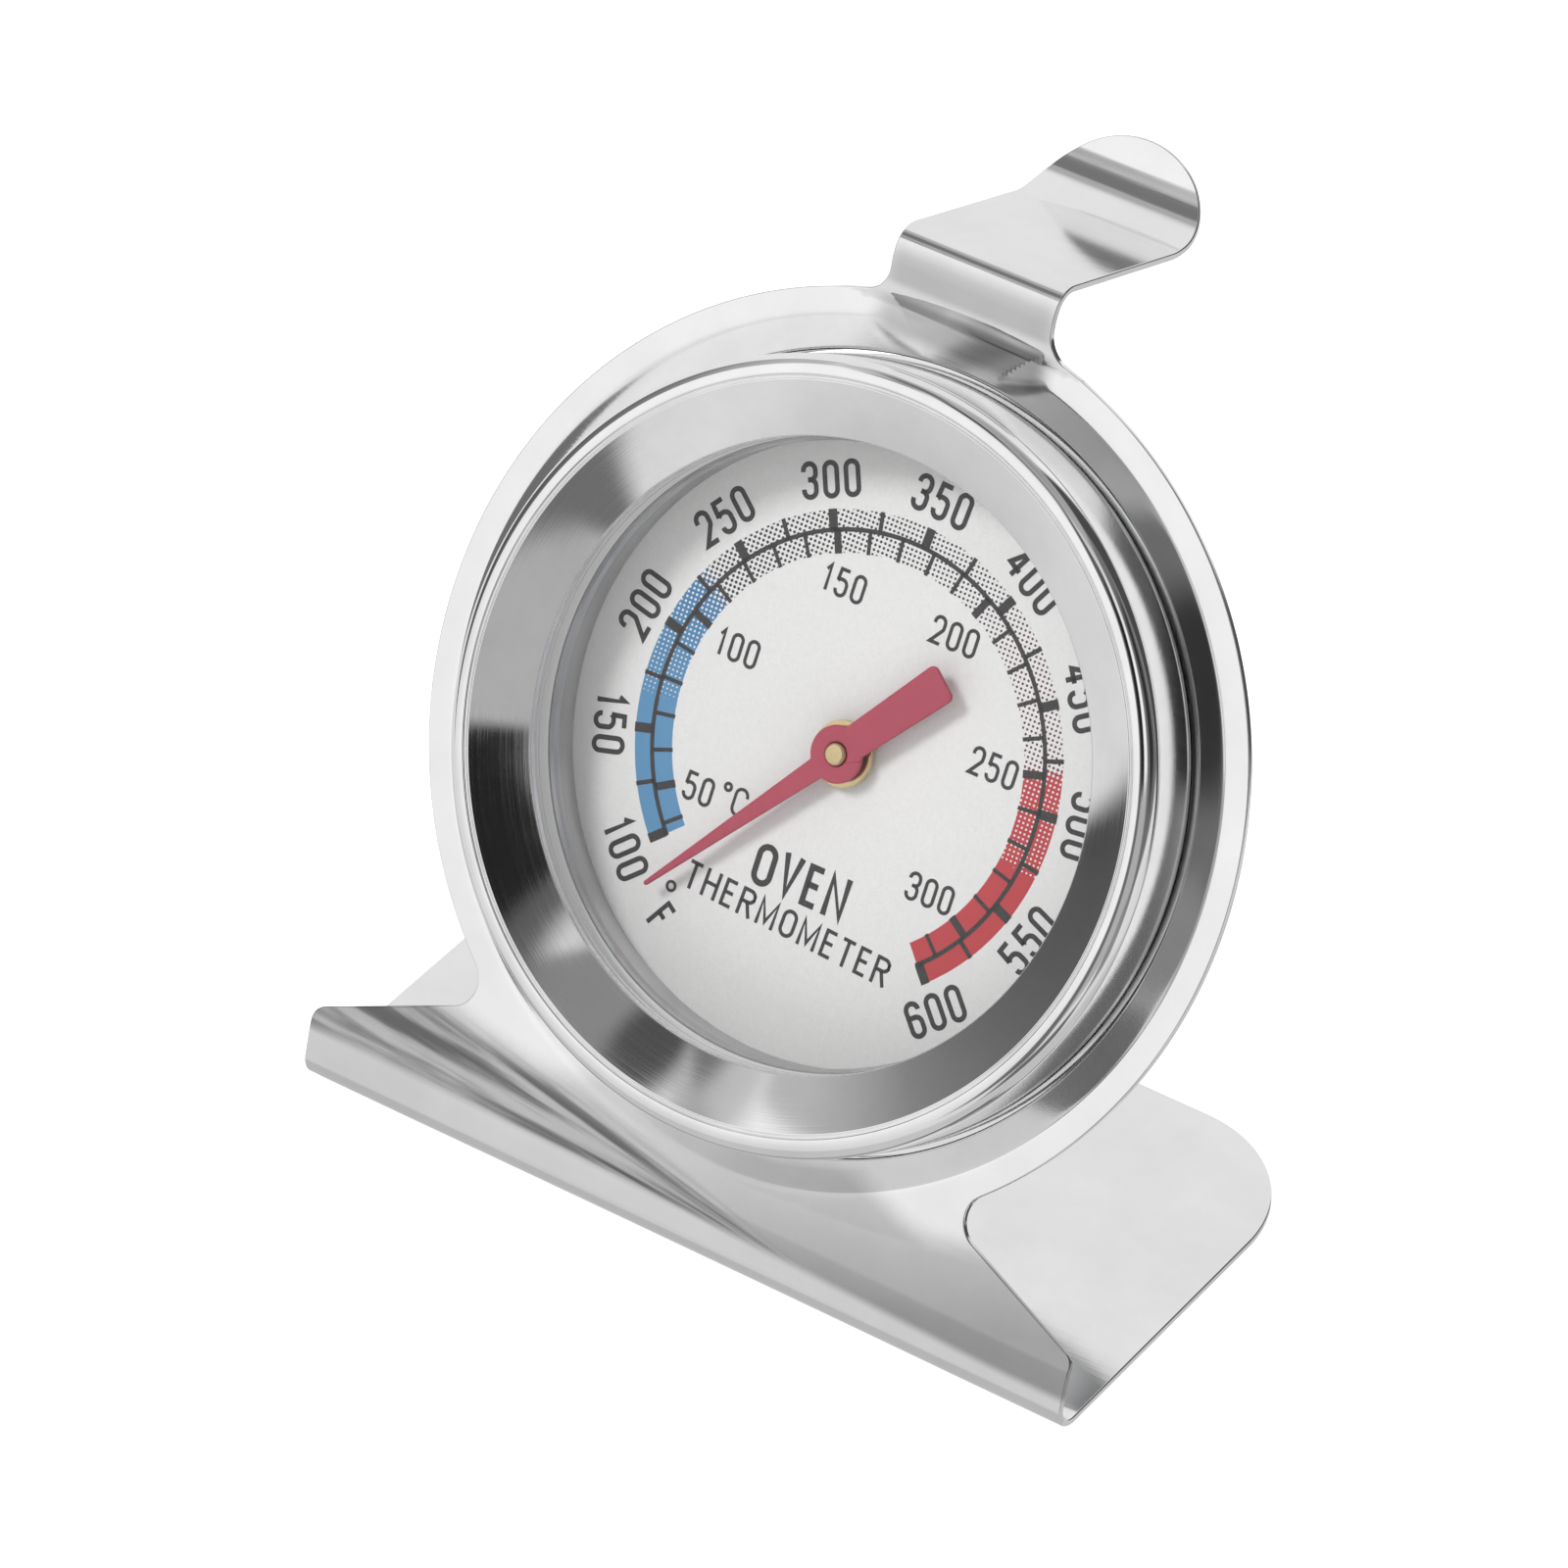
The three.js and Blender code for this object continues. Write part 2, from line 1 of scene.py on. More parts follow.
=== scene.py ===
"""Oven thermometer: a dial gauge in one stamped stainless stand, with a foot and a hook.

Every shape is made in the dial's own frame, in millimetres: X to the right, Y along the pointer's
axis into the case, Z up the dial, and the origin where that axis meets the flat ring's front.
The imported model's joint says where that frame is. Last of all, each piece's mesh is moved into the
part's own upright frame, which keeps its bounding box tight.
"""

import json
import math

import bpy
import numpy as np
from mathutils import Matrix, Vector
from mathutils.geometry import delaunay_2d_cdt


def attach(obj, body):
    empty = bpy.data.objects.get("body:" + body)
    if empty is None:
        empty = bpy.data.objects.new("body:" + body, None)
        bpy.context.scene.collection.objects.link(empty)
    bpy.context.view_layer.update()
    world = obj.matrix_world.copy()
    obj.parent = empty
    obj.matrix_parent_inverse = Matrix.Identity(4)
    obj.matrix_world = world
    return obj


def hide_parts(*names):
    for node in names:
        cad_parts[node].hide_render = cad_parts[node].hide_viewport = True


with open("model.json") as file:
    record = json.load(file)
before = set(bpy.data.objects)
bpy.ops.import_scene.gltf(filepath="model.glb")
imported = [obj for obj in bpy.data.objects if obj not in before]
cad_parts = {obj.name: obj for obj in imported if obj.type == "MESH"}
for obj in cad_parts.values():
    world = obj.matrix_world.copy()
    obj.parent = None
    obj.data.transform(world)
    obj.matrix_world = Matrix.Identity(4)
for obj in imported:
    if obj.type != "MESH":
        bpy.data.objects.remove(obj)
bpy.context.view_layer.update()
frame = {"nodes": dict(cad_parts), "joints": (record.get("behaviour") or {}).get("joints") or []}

MM = 0.001
PIVOT = frame["joints"][0]
AXIS = Vector(PIVOT["axis"]).normalized()
ACROSS = Vector((1, 0, 0))
UP_DIAL = ACROSS.cross(AXIS)
CENTRE = Vector(PIVOT["pos_m"])
DIAL_FRAME = Matrix.Translation(CENTRE) @ Matrix((ACROSS, AXIS, UP_DIAL)).transposed().to_4x4()
LEAN = math.asin(-AXIS.z)
DIAL_HEIGHT = CENTRE.z / MM

# ---- Driving dimensions, in millimetres in the dial's frame -----------------------------------

RING_R = 30
HALF_WIDTH = 30
SHEET = 0.5
EDGE_ROUND = 0.11  # the stamped sheet's softened edge

DISH_R = 28.2
COLLAR_R = 25.95
COLLAR_FRONT = 0.95
COLLAR_BACK = 2.3
COLLAR_ROUND = 0.35
DISH_SLOPE = math.atan2(COLLAR_FRONT, DISH_R - COLLAR_R)
COLLAR_BEND_R = COLLAR_R + COLLAR_ROUND * (1 - math.sin(DISH_SLOPE))
COLLAR_ARC = COLLAR_ROUND * (math.pi / 2 - DISH_SLOPE)
COLLAR_BEND_Y = COLLAR_FRONT + COLLAR_ROUND * math.cos(DISH_SLOPE) - COLLAR_ROUND * 0.1
OPENING_R = COLLAR_BEND_R - COLLAR_ARC - (COLLAR_BACK - COLLAR_BEND_Y)  # in the flat pattern

SHOULDER_Z = -29.4
SHOULDER_SLOPE = math.radians(22)
SHOULDER_ROUND = 1
COVE_R = 1.9
LIP_TOP_Z = -30.2
LIP_LEAN = math.radians(6)
FOOT_BEND_R = 1.4
FOOT_BACK_Y = 14.7
FOOT_CORNER_R = 9.2

HOOK_HALF_WIDTH = 6.15
HOOK_ROOT_R = 2
NECK_FOOT = (0, 28.6)
HOOK_BENDS = (
    ((-0.886, 31.78), 3.6),
    ((-0.83, 33.82), 1.8),
    ((14.835, 36.78), 4.7),
    ((16.27, 39.37), 8.9),
    ((16.555, 40.15), 1.5),
)
HOOK_TIP = (16.89, 42.05)

CASE_R = 25.65
WINDOW_R = 20.42

ANGLE_AT_350F = 3.3
DEGREES_PER_F = 0.54
DIAL_FRONT = 2.4

STACK_R = 24  # glass, rings and dial, inside the cup's mouth
CUP_MOUTH_R = 24.95
CAN_R = 21.5
FLOOR_BACK = 11.3
CUP_SHEET = 0.5
VENT_R = 15.4
RIVET_X = 18.6
RIVET_HOLE_R = 1.1
ANCHOR_Z = -11.7
ANCHOR_HOLE_R = 1
HEAD_FRONT = FLOOR_BACK + 0.02  # the rivet heads all but touch the cup's floor


def clock_angle(fahrenheit):
    """Degrees clockwise from straight up at which the dial shows a temperature."""
    return ANGLE_AT_350F + DEGREES_PER_F * (fahrenheit - 350)


def clock_point(radius, angle_deg):
    a = math.radians(angle_deg)
    return (radius * math.sin(a), radius * math.cos(a))


# ---- Mesh helpers ----------------------------------------------------------------------------

def make_piece(name, vertices, faces, normals=None, sharp_deg=30):
    """A piece from dial-frame millimetres, its object standing at the dial's frame."""
    mesh = bpy.data.meshes.new(name)
    mesh.from_pydata([Vector(v) * MM for v in vertices], [], [tuple(f) for f in faces])
    mesh.validate()
    mesh.shade_smooth()
    if normals is None:
        mesh.set_sharp_from_angle(angle=math.radians(sharp_deg))
    else:
        mesh.normals_split_custom_set_from_vertices([tuple(n) for n in normals])
    piece = bpy.data.objects.new(name, mesh)
    bpy.context.scene.collection.objects.link(piece)
    piece.matrix_world = DIAL_FRAME
    return piece


def set_upright(piece):
    """Takes the piece's mesh from the dial's frame into the part's own, so its box stands upright."""
    piece.data.transform(DIAL_FRAME)
    piece.matrix_world = Matrix()


def rounded(corners, radii, step_deg=8):
    """The line through the corners, with those in `radii` (index: radius) turned into arcs."""
    line = []
    for i, corner in enumerate(corners):
        corner = Vector(corner)
        if i not in radii:
            line.append(corner)
            continue
        back = (Vector(corners[i - 1]) - corner).normalized()
        on = (Vector(corners[(i + 1) % len(corners)]) - corner).normalized()
        half = math.acos(max(-1, min(1, back.dot(on)))) / 2
        centre = corner + (back + on).normalized() * radii[i] / math.sin(half)
        arm = corner + back * radii[i] / math.tan(half) - centre
        turn = math.copysign(math.pi - 2 * half, -(back.x * on.y - back.y * on.x))
        steps = max(2, math.ceil(abs(math.degrees(turn)) / step_deg))
        for k in range(steps + 1):
            line.append(centre + Matrix.Rotation(turn * k / steps, 2) @ arm)
    return line


def turned(name, outline, sides=256, closed=True):
    """A piece turned about the dial's axis from (radius, y) points; an open line ends on the axis."""
    inner = [p for p in outline if p[0] > 1e-6]
    vertices = []
    for radius, y in inner:
        for k in range(sides):
            a = 2 * math.pi * k / sides
            vertices.append((radius * math.cos(a), y, radius * math.sin(a)))
    faces = []
    rows = len(inner)
    for i in range(rows if closed else rows - 1):
        j = (i + 1) % rows
        for k in range(sides):
            m = (k + 1) % sides
            faces.append((i * sides + k, i * sides + m, j * sides + m, j * sides + k))
    if not closed:
        for row, y in ((0, outline[0][1]), (rows - 1, outline[-1][1])):
            vertices.append((0, y, 0))
            hub = len(vertices) - 1
            for k in range(sides):
                a, b = row * sides + k, row * sides + (k + 1) % sides
                faces.append((a, hub, b) if row == 0 else (a, b, hub))
    return make_piece(name, vertices, outward(vertices, faces))


def outward(vertices, faces):
    """The faces, all turned over if the closed mesh they make is inside out."""
    volume = 0
    for face in faces:
        a = Vector(vertices[face[0]])
        for i in range(1, len(face) - 1):
            volume += a.dot(Vector(vertices[face[i]]).cross(Vector(vertices[face[i + 1]])))
    return faces if volume > 0 else [tuple(reversed(f)) for f in faces]


# ---- The stamped sheet -----------------------------------------------------------------------

class Fold:
    """The section of the folded sheet in (y, z), measured along its length from the dial's centre."""

    def __init__(self, corners, radii):
        self.parts = []
        point = np.array(corners[0], float)
        for i in range(1, len(corners)):
            corner = np.array(corners[i], float)
            if i not in radii:
                self.add_line(point, corner)
                point = corner
                continue
            back = (point - corner) / np.linalg.norm(point - corner)
            on = np.array(corners[i + 1], float) - corner
            on /= np.linalg.norm(on)
            half = math.acos(back @ on) / 2
            reach = radii[i] / math.tan(half)
            centre = corner + (back + on) / np.linalg.norm(back + on) * radii[i] / math.sin(half)
            turn = math.copysign(math.pi - 2 * half, -(back[0] * on[1] - back[1] * on[0]))
            self.add_line(point, corner + back * reach)
            self.parts.append(("arc", centre, corner + back * reach - centre, turn, abs(turn) * radii[i]))
            point = corner + on * reach
        lengths = [part[-1] for part in self.parts]
        self.starts = np.concatenate([[0], np.cumsum(lengths)])
        self.starts -= self.length_at(lambda y, z: z > 0)

    def add_line(self, a, b):
        length = np.linalg.norm(b - a)
        self.parts.append(("line", a, (b - a) / length, 0, length))

    def length_at(self, passed):
        """The length at which the path first has passed(y, z) true, by bisection on samples."""
        s = np.linspace(self.starts[0], self.starts[-1], 4001)
        y, z = self.at(s)
        low = int(np.argmax(passed(y, z))) - 1
        a, b = s[low], s[low + 1]
        for _ in range(40):
            mid = (a + b) / 2
            my, mz = self.at(np.array([mid]))
            if passed(my, mz)[0]:
                b = mid
            else:
                a = mid
        return b

    def at(self, s):
        """(y, z) at each length in s. The first and last parts run on past their ends."""
        y = np.zeros_like(s)
        z = np.zeros_like(s)
        which = np.clip(np.searchsorted(self.starts, s, "right") - 1, 0, len(self.parts) - 1)
        for i, (kind, origin, arm, turn, length) in enumerate(self.parts):
            here = which == i
            along = s[here] - self.starts[i]
            if kind == "line":
                y[here] = origin[0] + arm[0] * along
                z[here] = origin[1] + arm[1] * along
            else:
                angle = turn * along / length
                y[here] = origin[0] + arm[0] * np.cos(angle) - arm[1] * np.sin(angle)
                z[here] = origin[1] + arm[0] * np.sin(angle) + arm[1] * np.cos(angle)
        return y, z


def dial_yz(y, z):
    """Dial-frame (y, z) of a point in the part's own frame, both in millimetres."""
    up = z - DIAL_HEIGHT
    return (
        y * math.cos(LEAN) - up * math.sin(LEAN),
        y * math.sin(LEAN) + up * math.cos(LEAN),
    )


def make_fold():
    table_z = -DIAL_HEIGHT / math.cos(LEAN)
    fall = math.tan(LIP_LEAN)
    y = fall * (LIP_TOP_Z - table_z) / (1 + fall * math.tan(LEAN))
    foot_corner = (y, table_z + y * math.tan(LEAN))
    corners = [
        dial_yz(FOOT_BACK_Y, 0),
        foot_corner,
        (0, LIP_TOP_Z),
        NECK_FOOT,
    ]
    radii = {1: FOOT_BEND_R}
    for corner, radius in HOOK_BENDS:
        radii[len(corners)] = radius
        corners.append(corner)
    return Fold(corners + [HOOK_TIP], radii)


FOLD = make_fold()

CREASE_MIDDLE_Z = -28.3
CREASE_TOP_Z = -26
CREASE_CURVE = 0.0047
GUSSET_HALF_WIDTH = 5.9
GUSSET_TOP = 29.8
PANEL_SLOPE = 0.27
PANEL_SOFT = 0.5
LIP_SOFT = 1.8


def smooth_min(a, b, k):
    h = np.clip(0.5 + 0.5 * (b - a) / k, 0, 1)
    return b + (a - b) * h - k * h * (1 - h)


def dish_share(u, v):
    """0 on the flat ring and 1 at the collar: how far down the pressed dish a point is."""
    rho = np.hypot(u, v)
    top = v - GUSSET_TOP + 0.012 * u**2
    gusset = np.where(v > 15, np.maximum(np.abs(u) - GUSSET_HALF_WIDTH, top), 50)
    edge = smooth_min(rho - DISH_R, gusset, 1.6)
    inside = 0.5 * (np.sqrt(edge**2 + 0.13**2) - edge)
    return inside / (inside + np.maximum(rho - COLLAR_R, 1e-6))


def panel_bulge(u, v):
    """How far the panel under the ring and its lip stand forward of the ring."""
    crease = np.minimum(CREASE_MIDDLE_Z + CREASE_CURVE * u**2, CREASE_TOP_Z)
    level = -smooth_min(-v, np.full_like(v, -LIP_TOP_Z), LIP_SOFT)
    below = np.maximum(crease - level, 0)
    bulge = PANEL_SLOPE * (np.sqrt(below**2 + PANEL_SOFT**2) - PANEL_SOFT)
    foot_start = FOLD.starts[1]
    return bulge * np.clip((v - foot_start) / (LIP_TOP_Z - foot_start), 0, 1)


def sheet_point(u, v):
    """The sheet's front or outer face at flat-pattern places (u, v), as an (n, 3) array."""
    rho = np.maximum(np.hypot(u, v), 1e-6)
    in_bend = rho < COLLAR_BEND_R
    at_u = np.where(in_bend, u * COLLAR_BEND_R / rho, u)
    at_v = np.where(in_bend, v * COLLAR_BEND_R / rho, v)
    y, z = FOLD.at(at_v)
    share = dish_share(at_u, at_v)
    y = y + share * (COLLAR_FRONT - y) - panel_bulge(at_u, at_v)
    past = np.maximum(COLLAR_BEND_R - rho, 0)
    angle = DISH_SLOPE + np.minimum(past, COLLAR_ARC) / COLLAR_ROUND
    radius = COLLAR_BEND_R - COLLAR_ROUND * (np.sin(angle) - math.sin(DISH_SLOPE))
    y = y + COLLAR_ROUND * (math.cos(DISH_SLOPE) - np.cos(angle)) + np.maximum(past - COLLAR_ARC, 0)
    grow = np.where(in_bend, radius / COLLAR_BEND_R, 1)
    return np.stack([at_u * grow, y, z * grow], axis=1)


def sheet_normal(u, v, step):
    du = sheet_point(u + step, v) - sheet_point(u - step, v)
    dv = sheet_point(u, v + step) - sheet_point(u, v - step)
    n = np.cross(du, dv)
    return n / np.linalg.norm(n, axis=1)[:, None]


def arc_points(centre, radius, start, stop, spacing):
    steps = max(3, math.ceil(abs(stop - start) * radius / spacing))
    angles = np.linspace(start, stop, steps + 1)
    return [(centre[0] + radius * math.cos(a), centre[1] + radius * math.sin(a)) for a in angles]


def blank_outline(inset):
    """The flat blank's outline, drawn in by `inset`, anticlockwise from the foot's back edge."""
    foot_end = FOLD.starts[0]
    hook_end = FOLD.starts[-1]
    half = HALF_WIDTH - inset
    foot_y = foot_end + FOOT_CORNER_R
    cove_r = COVE_R + inset
    along = np.array([-math.cos(SHOULDER_SLOPE), math.sin(SHOULDER_SLOPE)])
    start = np.array([
        HALF_WIDTH + COVE_R * math.sin(SHOULDER_SLOPE),
        SHOULDER_Z + COVE_R * math.cos(SHOULDER_SLOPE),
    ])
    middle = -start @ along
    cove = start + along * (middle - math.sqrt(middle**2 - start @ start + (RING_R + COVE_R) ** 2))
    cove_angle = math.atan2(cove[1], cove[0])
    shoulder_arc = math.pi / 2 - SHOULDER_SLOPE
    shoulder = (
        HALF_WIDTH - SHOULDER_ROUND,
        SHOULDER_Z - SHOULDER_ROUND * math.tan(shoulder_arc / 2),
    )
    root_x = HOOK_HALF_WIDTH + HOOK_ROOT_R
    root_z = math.sqrt((RING_R + HOOK_ROOT_R) ** 2 - root_x**2)
    root_angle = math.atan2(root_z, root_x)
    tip_v = hook_end - HOOK_HALF_WIDTH

    right = arc_points(
        (HALF_WIDTH - FOOT_CORNER_R, foot_y), FOOT_CORNER_R - inset, -math.pi / 2, 0, 0.4
    )
    right += [(half, v) for v in side_levels(foot_y, shoulder[1])]
    right += arc_points(shoulder, SHOULDER_ROUND - inset, 0, shoulder_arc, 0.15)
    right += arc_points(cove, cove_r, 3 * math.pi / 2 - SHOULDER_SLOPE, cove_angle + math.pi, 0.3)
    right += arc_points((0, 0), RING_R - inset, cove_angle, root_angle, 0.4)
    right += arc_points(
        (root_x, root_z), HOOK_ROOT_R + inset, root_angle + math.pi, math.pi, 0.25
    )
    right += [(HOOK_HALF_WIDTH - inset, v) for v in side_levels(root_z, tip_v)]
    right += arc_points((0, tip_v), HOOK_HALF_WIDTH - inset, 0, math.pi / 2, 0.3)
    loop = right + [(-u, v) for u, v in reversed(right)]
    kept = []
    for p in loop:
        if not kept or math.dist(p, kept[-1]) > 1e-3:
            kept.append(p)
    return np.array(kept)


BEND_STEP = 0.16
FLAT_STEP = 1.0


def levels():
    """Lengths along the section: close together round each bend, further apart on the flats."""
    marks = []
    for i, (kind, _, _, _, length) in enumerate(FOLD.parts):
        step = BEND_STEP if kind == "arc" else FLAT_STEP
        count = max(1, round(length / step))
        marks += [FOLD.starts[i] + length * k / count for k in range(count)]
    marks.append(FOLD.starts[-1])
    extra = np.arange(LIP_TOP_Z - 0.6, LIP_TOP_Z + 3.2, 0.2)
    return np.unique(np.round(np.concatenate([marks, extra]), 4))


def side_levels(low, high):
    return [v for v in levels() if low < v < high]


def inside_loop(points, loop):
    """Which points lie inside the closed loop, by crossings."""
    inside = np.zeros(len(points), bool)
    x, y = points[:, 0], points[:, 1]
    for (x0, y0), (x1, y1) in zip(loop, np.roll(loop, -1, axis=0)):
        if y0 == y1:
            continue
        crosses = (y0 > y) != (y1 > y)
        inside ^= crosses & (x < x0 + (y - y0) * (x1 - x0) / (y1 - y0))
    return inside


def loop_normals(loop):
    """The outward direction at each point of an anticlockwise loop."""
    ahead = np.roll(loop, -1, axis=0) - loop
    behind = loop - np.roll(loop, 1, axis=0)
    ahead /= np.linalg.norm(ahead, axis=1)[:, None]
    behind /= np.linalg.norm(behind, axis=1)[:, None]
    out = np.stack([(ahead + behind)[:, 1], -(ahead + behind)[:, 0]], axis=1)
    return out / np.linalg.norm(out, axis=1)[:, None]


def near_loop(points, loop, gap):
    """Which points are closer than `gap` to a point of the loop."""
    close = np.zeros(len(points), bool)
    for p in loop:
        close |= np.hypot(points[:, 0] - p[0], points[:, 1] - p[1]) < gap
    return close


def inner_points(outline, opening):
    """Places inside the blank: rows across it, and rings round the dish."""
    rings = np.concatenate([
        np.arange(OPENING_R + 0.2, COLLAR_R + 0.45, 0.09),
        np.arange(COLLAR_R + 0.5, DISH_R - 0.4, 0.35),
        np.arange(DISH_R - 0.4, DISH_R + 0.5, 0.1),
        np.arange(DISH_R + 0.7, RING_R - 0.1, 0.4),
    ])
    turns = np.arange(360) * 2 * math.pi / 360
    polar = np.array([(r * math.cos(a), r * math.sin(a)) for r in rings for a in turns])
    rows = np.array([
        (u, v) for v in levels() for u in np.arange(-29.5, 29.6, 0.75)
        if math.hypot(u, v) > RING_R - 0.2 or abs(v) > RING_R
    ])
    neck = np.array([
        (u, v) for v in np.arange(26.4, 31.4, 0.13) for u in np.arange(-6.9, 6.95, 0.3)
        if math.hypot(u, v) > COLLAR_R + 0.6
    ])
    polar = polar[~((np.abs(polar[:, 0]) < 7) & (polar[:, 1] > 26.3) & (np.hypot(*polar.T) > 26.6))]
    rows = rows[~((np.abs(rows[:, 0]) < 7) & (rows[:, 1] > 26) & (rows[:, 1] < 31.4))]
    points = np.concatenate([polar, rows, neck])
    points = points[inside_loop(points, outline) & ~inside_loop(points, opening)]
    return points[~near_loop(points, outline, 0.11) & ~near_loop(points, opening, 0.05)]


def stamped_stand():
    outline = blank_outline(EDGE_ROUND)
    turns = np.arange(360) * 2 * math.pi / 360
    opening = np.stack([OPENING_R * np.cos(turns), OPENING_R * np.sin(turns)], axis=1)
    flat = np.concatenate([outline, opening, inner_points(outline, opening)])
    count, hole_count = len(outline), len(opening)
    edges = [(i, (i + 1) % count) for i in range(count)]
    edges += [(count + i, count + (i + 1) % hole_count) for i in range(hole_count)]
    out = delaunay_2d_cdt([Vector(p) for p in flat], edges, [], 0, 1e-5)
    if len(out[0]) != len(flat):
        raise ValueError("the blank's triangulation merged or added points")
    corners = np.array([tuple(p) for p in out[0]])
    triangles = np.array(out[2])
    middle = corners[triangles].mean(axis=1)
    triangles = triangles[inside_loop(middle, outline) & ~inside_loop(middle, opening)]
    a, b, c = (corners[triangles[:, k]] for k in range(3))
    turn = (b[:, 0] - a[:, 0]) * (c[:, 1] - a[:, 1]) - (b[:, 1] - a[:, 1]) * (c[:, 0] - a[:, 0])
    triangles[turn < 0] = triangles[turn < 0][:, ::-1]

    u, v = corners.T
    front = sheet_point(u, v)
    front_normal = sheet_normal(u, v, 0.03)
    depth_normal = sheet_normal(u, v, 0.45)
    back = front - depth_normal * SHEET
    vertices = [front, back]
    normals = [front_normal, -depth_normal]
    total = len(corners)
    faces = [tuple(t) for t in triangles] + [tuple(t[::-1] + total) for t in triangles]

    size = 2 * total
    place = {origin[0]: i for i, origin in enumerate(out[3])}
    for loop, first, outwards in ((outline, 0, 1), (opening, count, -1)):
        index = [place[first + i] for i in range(len(loop))]
        if outwards < 0:
            index, loop = index[::-1], loop[::-1]
        side = loop_normals(loop)
        reach = sheet_point(*(loop + side * 0.05).T) - sheet_point(*loop.T)
        reach /= np.linalg.norm(reach, axis=1)[:, None]
        down = -depth_normal[index]
        rings = [np.array(index)]
        for degrees in (30, 60, 90, 90, 120, 150):
            a = math.radians(degrees)
            low = SHEET - EDGE_ROUND if len(rings) > 3 else EDGE_ROUND
            out_by = EDGE_ROUND * math.sin(a)
            down_by = low - EDGE_ROUND * math.cos(a)
            vertices.append(front[index] + reach * out_by + down * down_by)
            normals.append(reach * math.sin(a) - down * math.cos(a))
            rings.append(np.arange(len(index)) + size)
            size += len(index)
        rings.append(np.array(index) + total)
        for low, high in zip(rings, rings[1:]):
            for k in range(len(index)):
                m = (k + 1) % len(index)
                faces.append((low[k], high[k], high[m], low[m]))
    vertices = np.concatenate(vertices)
    normals = np.concatenate(normals)
    normals /= np.linalg.norm(normals, axis=1)[:, None]
    return make_piece("stamped_stand", vertices.tolist(), faces, normals.tolist())


# ---- Materials -------------------------------------------------------------------------------

class Nodes:
    """Short ways to add and wire the nodes of one tree."""

    def __init__(self, tree):
        self.tree = tree

    def node(self, kind, inputs=(), **settings):
        made = self.tree.nodes.new(kind)
        for key, value in settings.items():
            setattr(made, key, value)
        for socket, value in dict(inputs).items():
            self.put(made.inputs[socket], value)
        return made

    def put(self, socket, value):
        if isinstance(value, bpy.types.NodeSocket):
            self.tree.links.new(value, socket)
        else:
            socket.default_value = value

    def maths(self, operation, *values):
        made = self.node("ShaderNodeMath", operation=operation)
        for socket, value in zip(made.inputs, values):
            self.put(socket, value)
        return made.outputs[0]

    def plus(self, a, b):
        return self.maths("ADD", a, b)

    def minus(self, a, b):
        return self.maths("SUBTRACT", a, b)

    def times(self, a, b):
        return self.maths("MULTIPLY", a, b)

    def span(self, value, low, high, to_low, to_high, smooth=False):
        inputs = {
            "Value": value,
            "From Min": low,
            "From Max": high,
            "To Min": to_low,
            "To Max": to_high,
        }
        kind = "SMOOTHSTEP" if smooth else "LINEAR"
        return self.node("ShaderNodeMapRange", inputs, interpolation_type=kind).outputs["Result"]

    def ramp(self, value, stops):
        made = self.node("ShaderNodeValToRGB", {"Fac": value})
        elements = made.color_ramp.elements
        while len(elements) < len(stops):
            elements.new(0.5)
        for element, (position, colour) in zip(elements, stops):
            element.position = position
            element.color = colour
        return made.outputs["Color"]


class Shader(Nodes):
    """A node material under construction round its Principled shader."""

    def __init__(self, name):
        self.material = bpy.data.materials.new(name)
        self.material.use_nodes = True
        super().__init__(self.material.node_tree)
        self.surface = self.tree.nodes["Principled BSDF"]
        to_dial = DIAL_FRAME.inverted()
        inputs = {
            "Vector": self.node("ShaderNodeTexCoord").outputs["Object"],
            "Location": to_dial.translation,
            "Rotation": to_dial.to_euler(),
        }
        self.dial_place = self.node("ShaderNodeMapping", inputs).outputs["Vector"]

    def set(self, **values):
        for name, value in values.items():
            self.put(self.surface.inputs[name.replace("_", " ")], value)

    def scaled(self, scale):
        """The dial's coordinates in millimetres, stretched."""
        inputs = {"Vector": self.dial_place, "Scale": [s / MM for s in scale]}
        return self.node("ShaderNodeMapping", inputs).outputs["Vector"]

    def dial_xyz(self):
        split = self.node("ShaderNodeSeparateXYZ", {"Vector": self.scaled((1, 1, 1))}).outputs
        return split["X"], split["Y"], split["Z"]

    def dial_radius(self, x, z):
        return self.maths("SQRT", self.plus(self.times(x, x), self.times(z, z)))

    def vector(self, **parts):
        return self.node("ShaderNodeCombineXYZ", parts).outputs[0]

    def shaded(self, colour, level):
        """The colour times a level, the same in all three channels."""
        inputs = {0: colour, 1: self.vector(X=level, Y=level, Z=level)}
        return self.node("ShaderNodeVectorMath", inputs, operation="MULTIPLY").outputs[0]

    def noise(self, scale, detail=3, roughness=0.5):
        inputs = {
            "Vector": self.scaled(scale),
            "Scale": 1,
            "Detail": detail,
            "Roughness": roughness,
        }
        return self.node("ShaderNodeTexNoise", inputs).outputs["Fac"]

    def mix(self, factor, a, b):
        made = self.node("ShaderNodeMix", data_type="RGBA")
        self.put(made.inputs["Factor"], factor)
        self.put(made.inputs["A"], a)
        self.put(made.inputs["B"], b)
        return made.outputs["Result"]

    def bump(self, height, strength, distance_mm):
        inputs = {"Height": height, "Strength": strength, "Distance": distance_mm * MM}
        self.put(self.surface.inputs["Normal"], self.node("ShaderNodeBump", inputs).outputs[0])


def grey(level):
    return (level, level, level, 1)


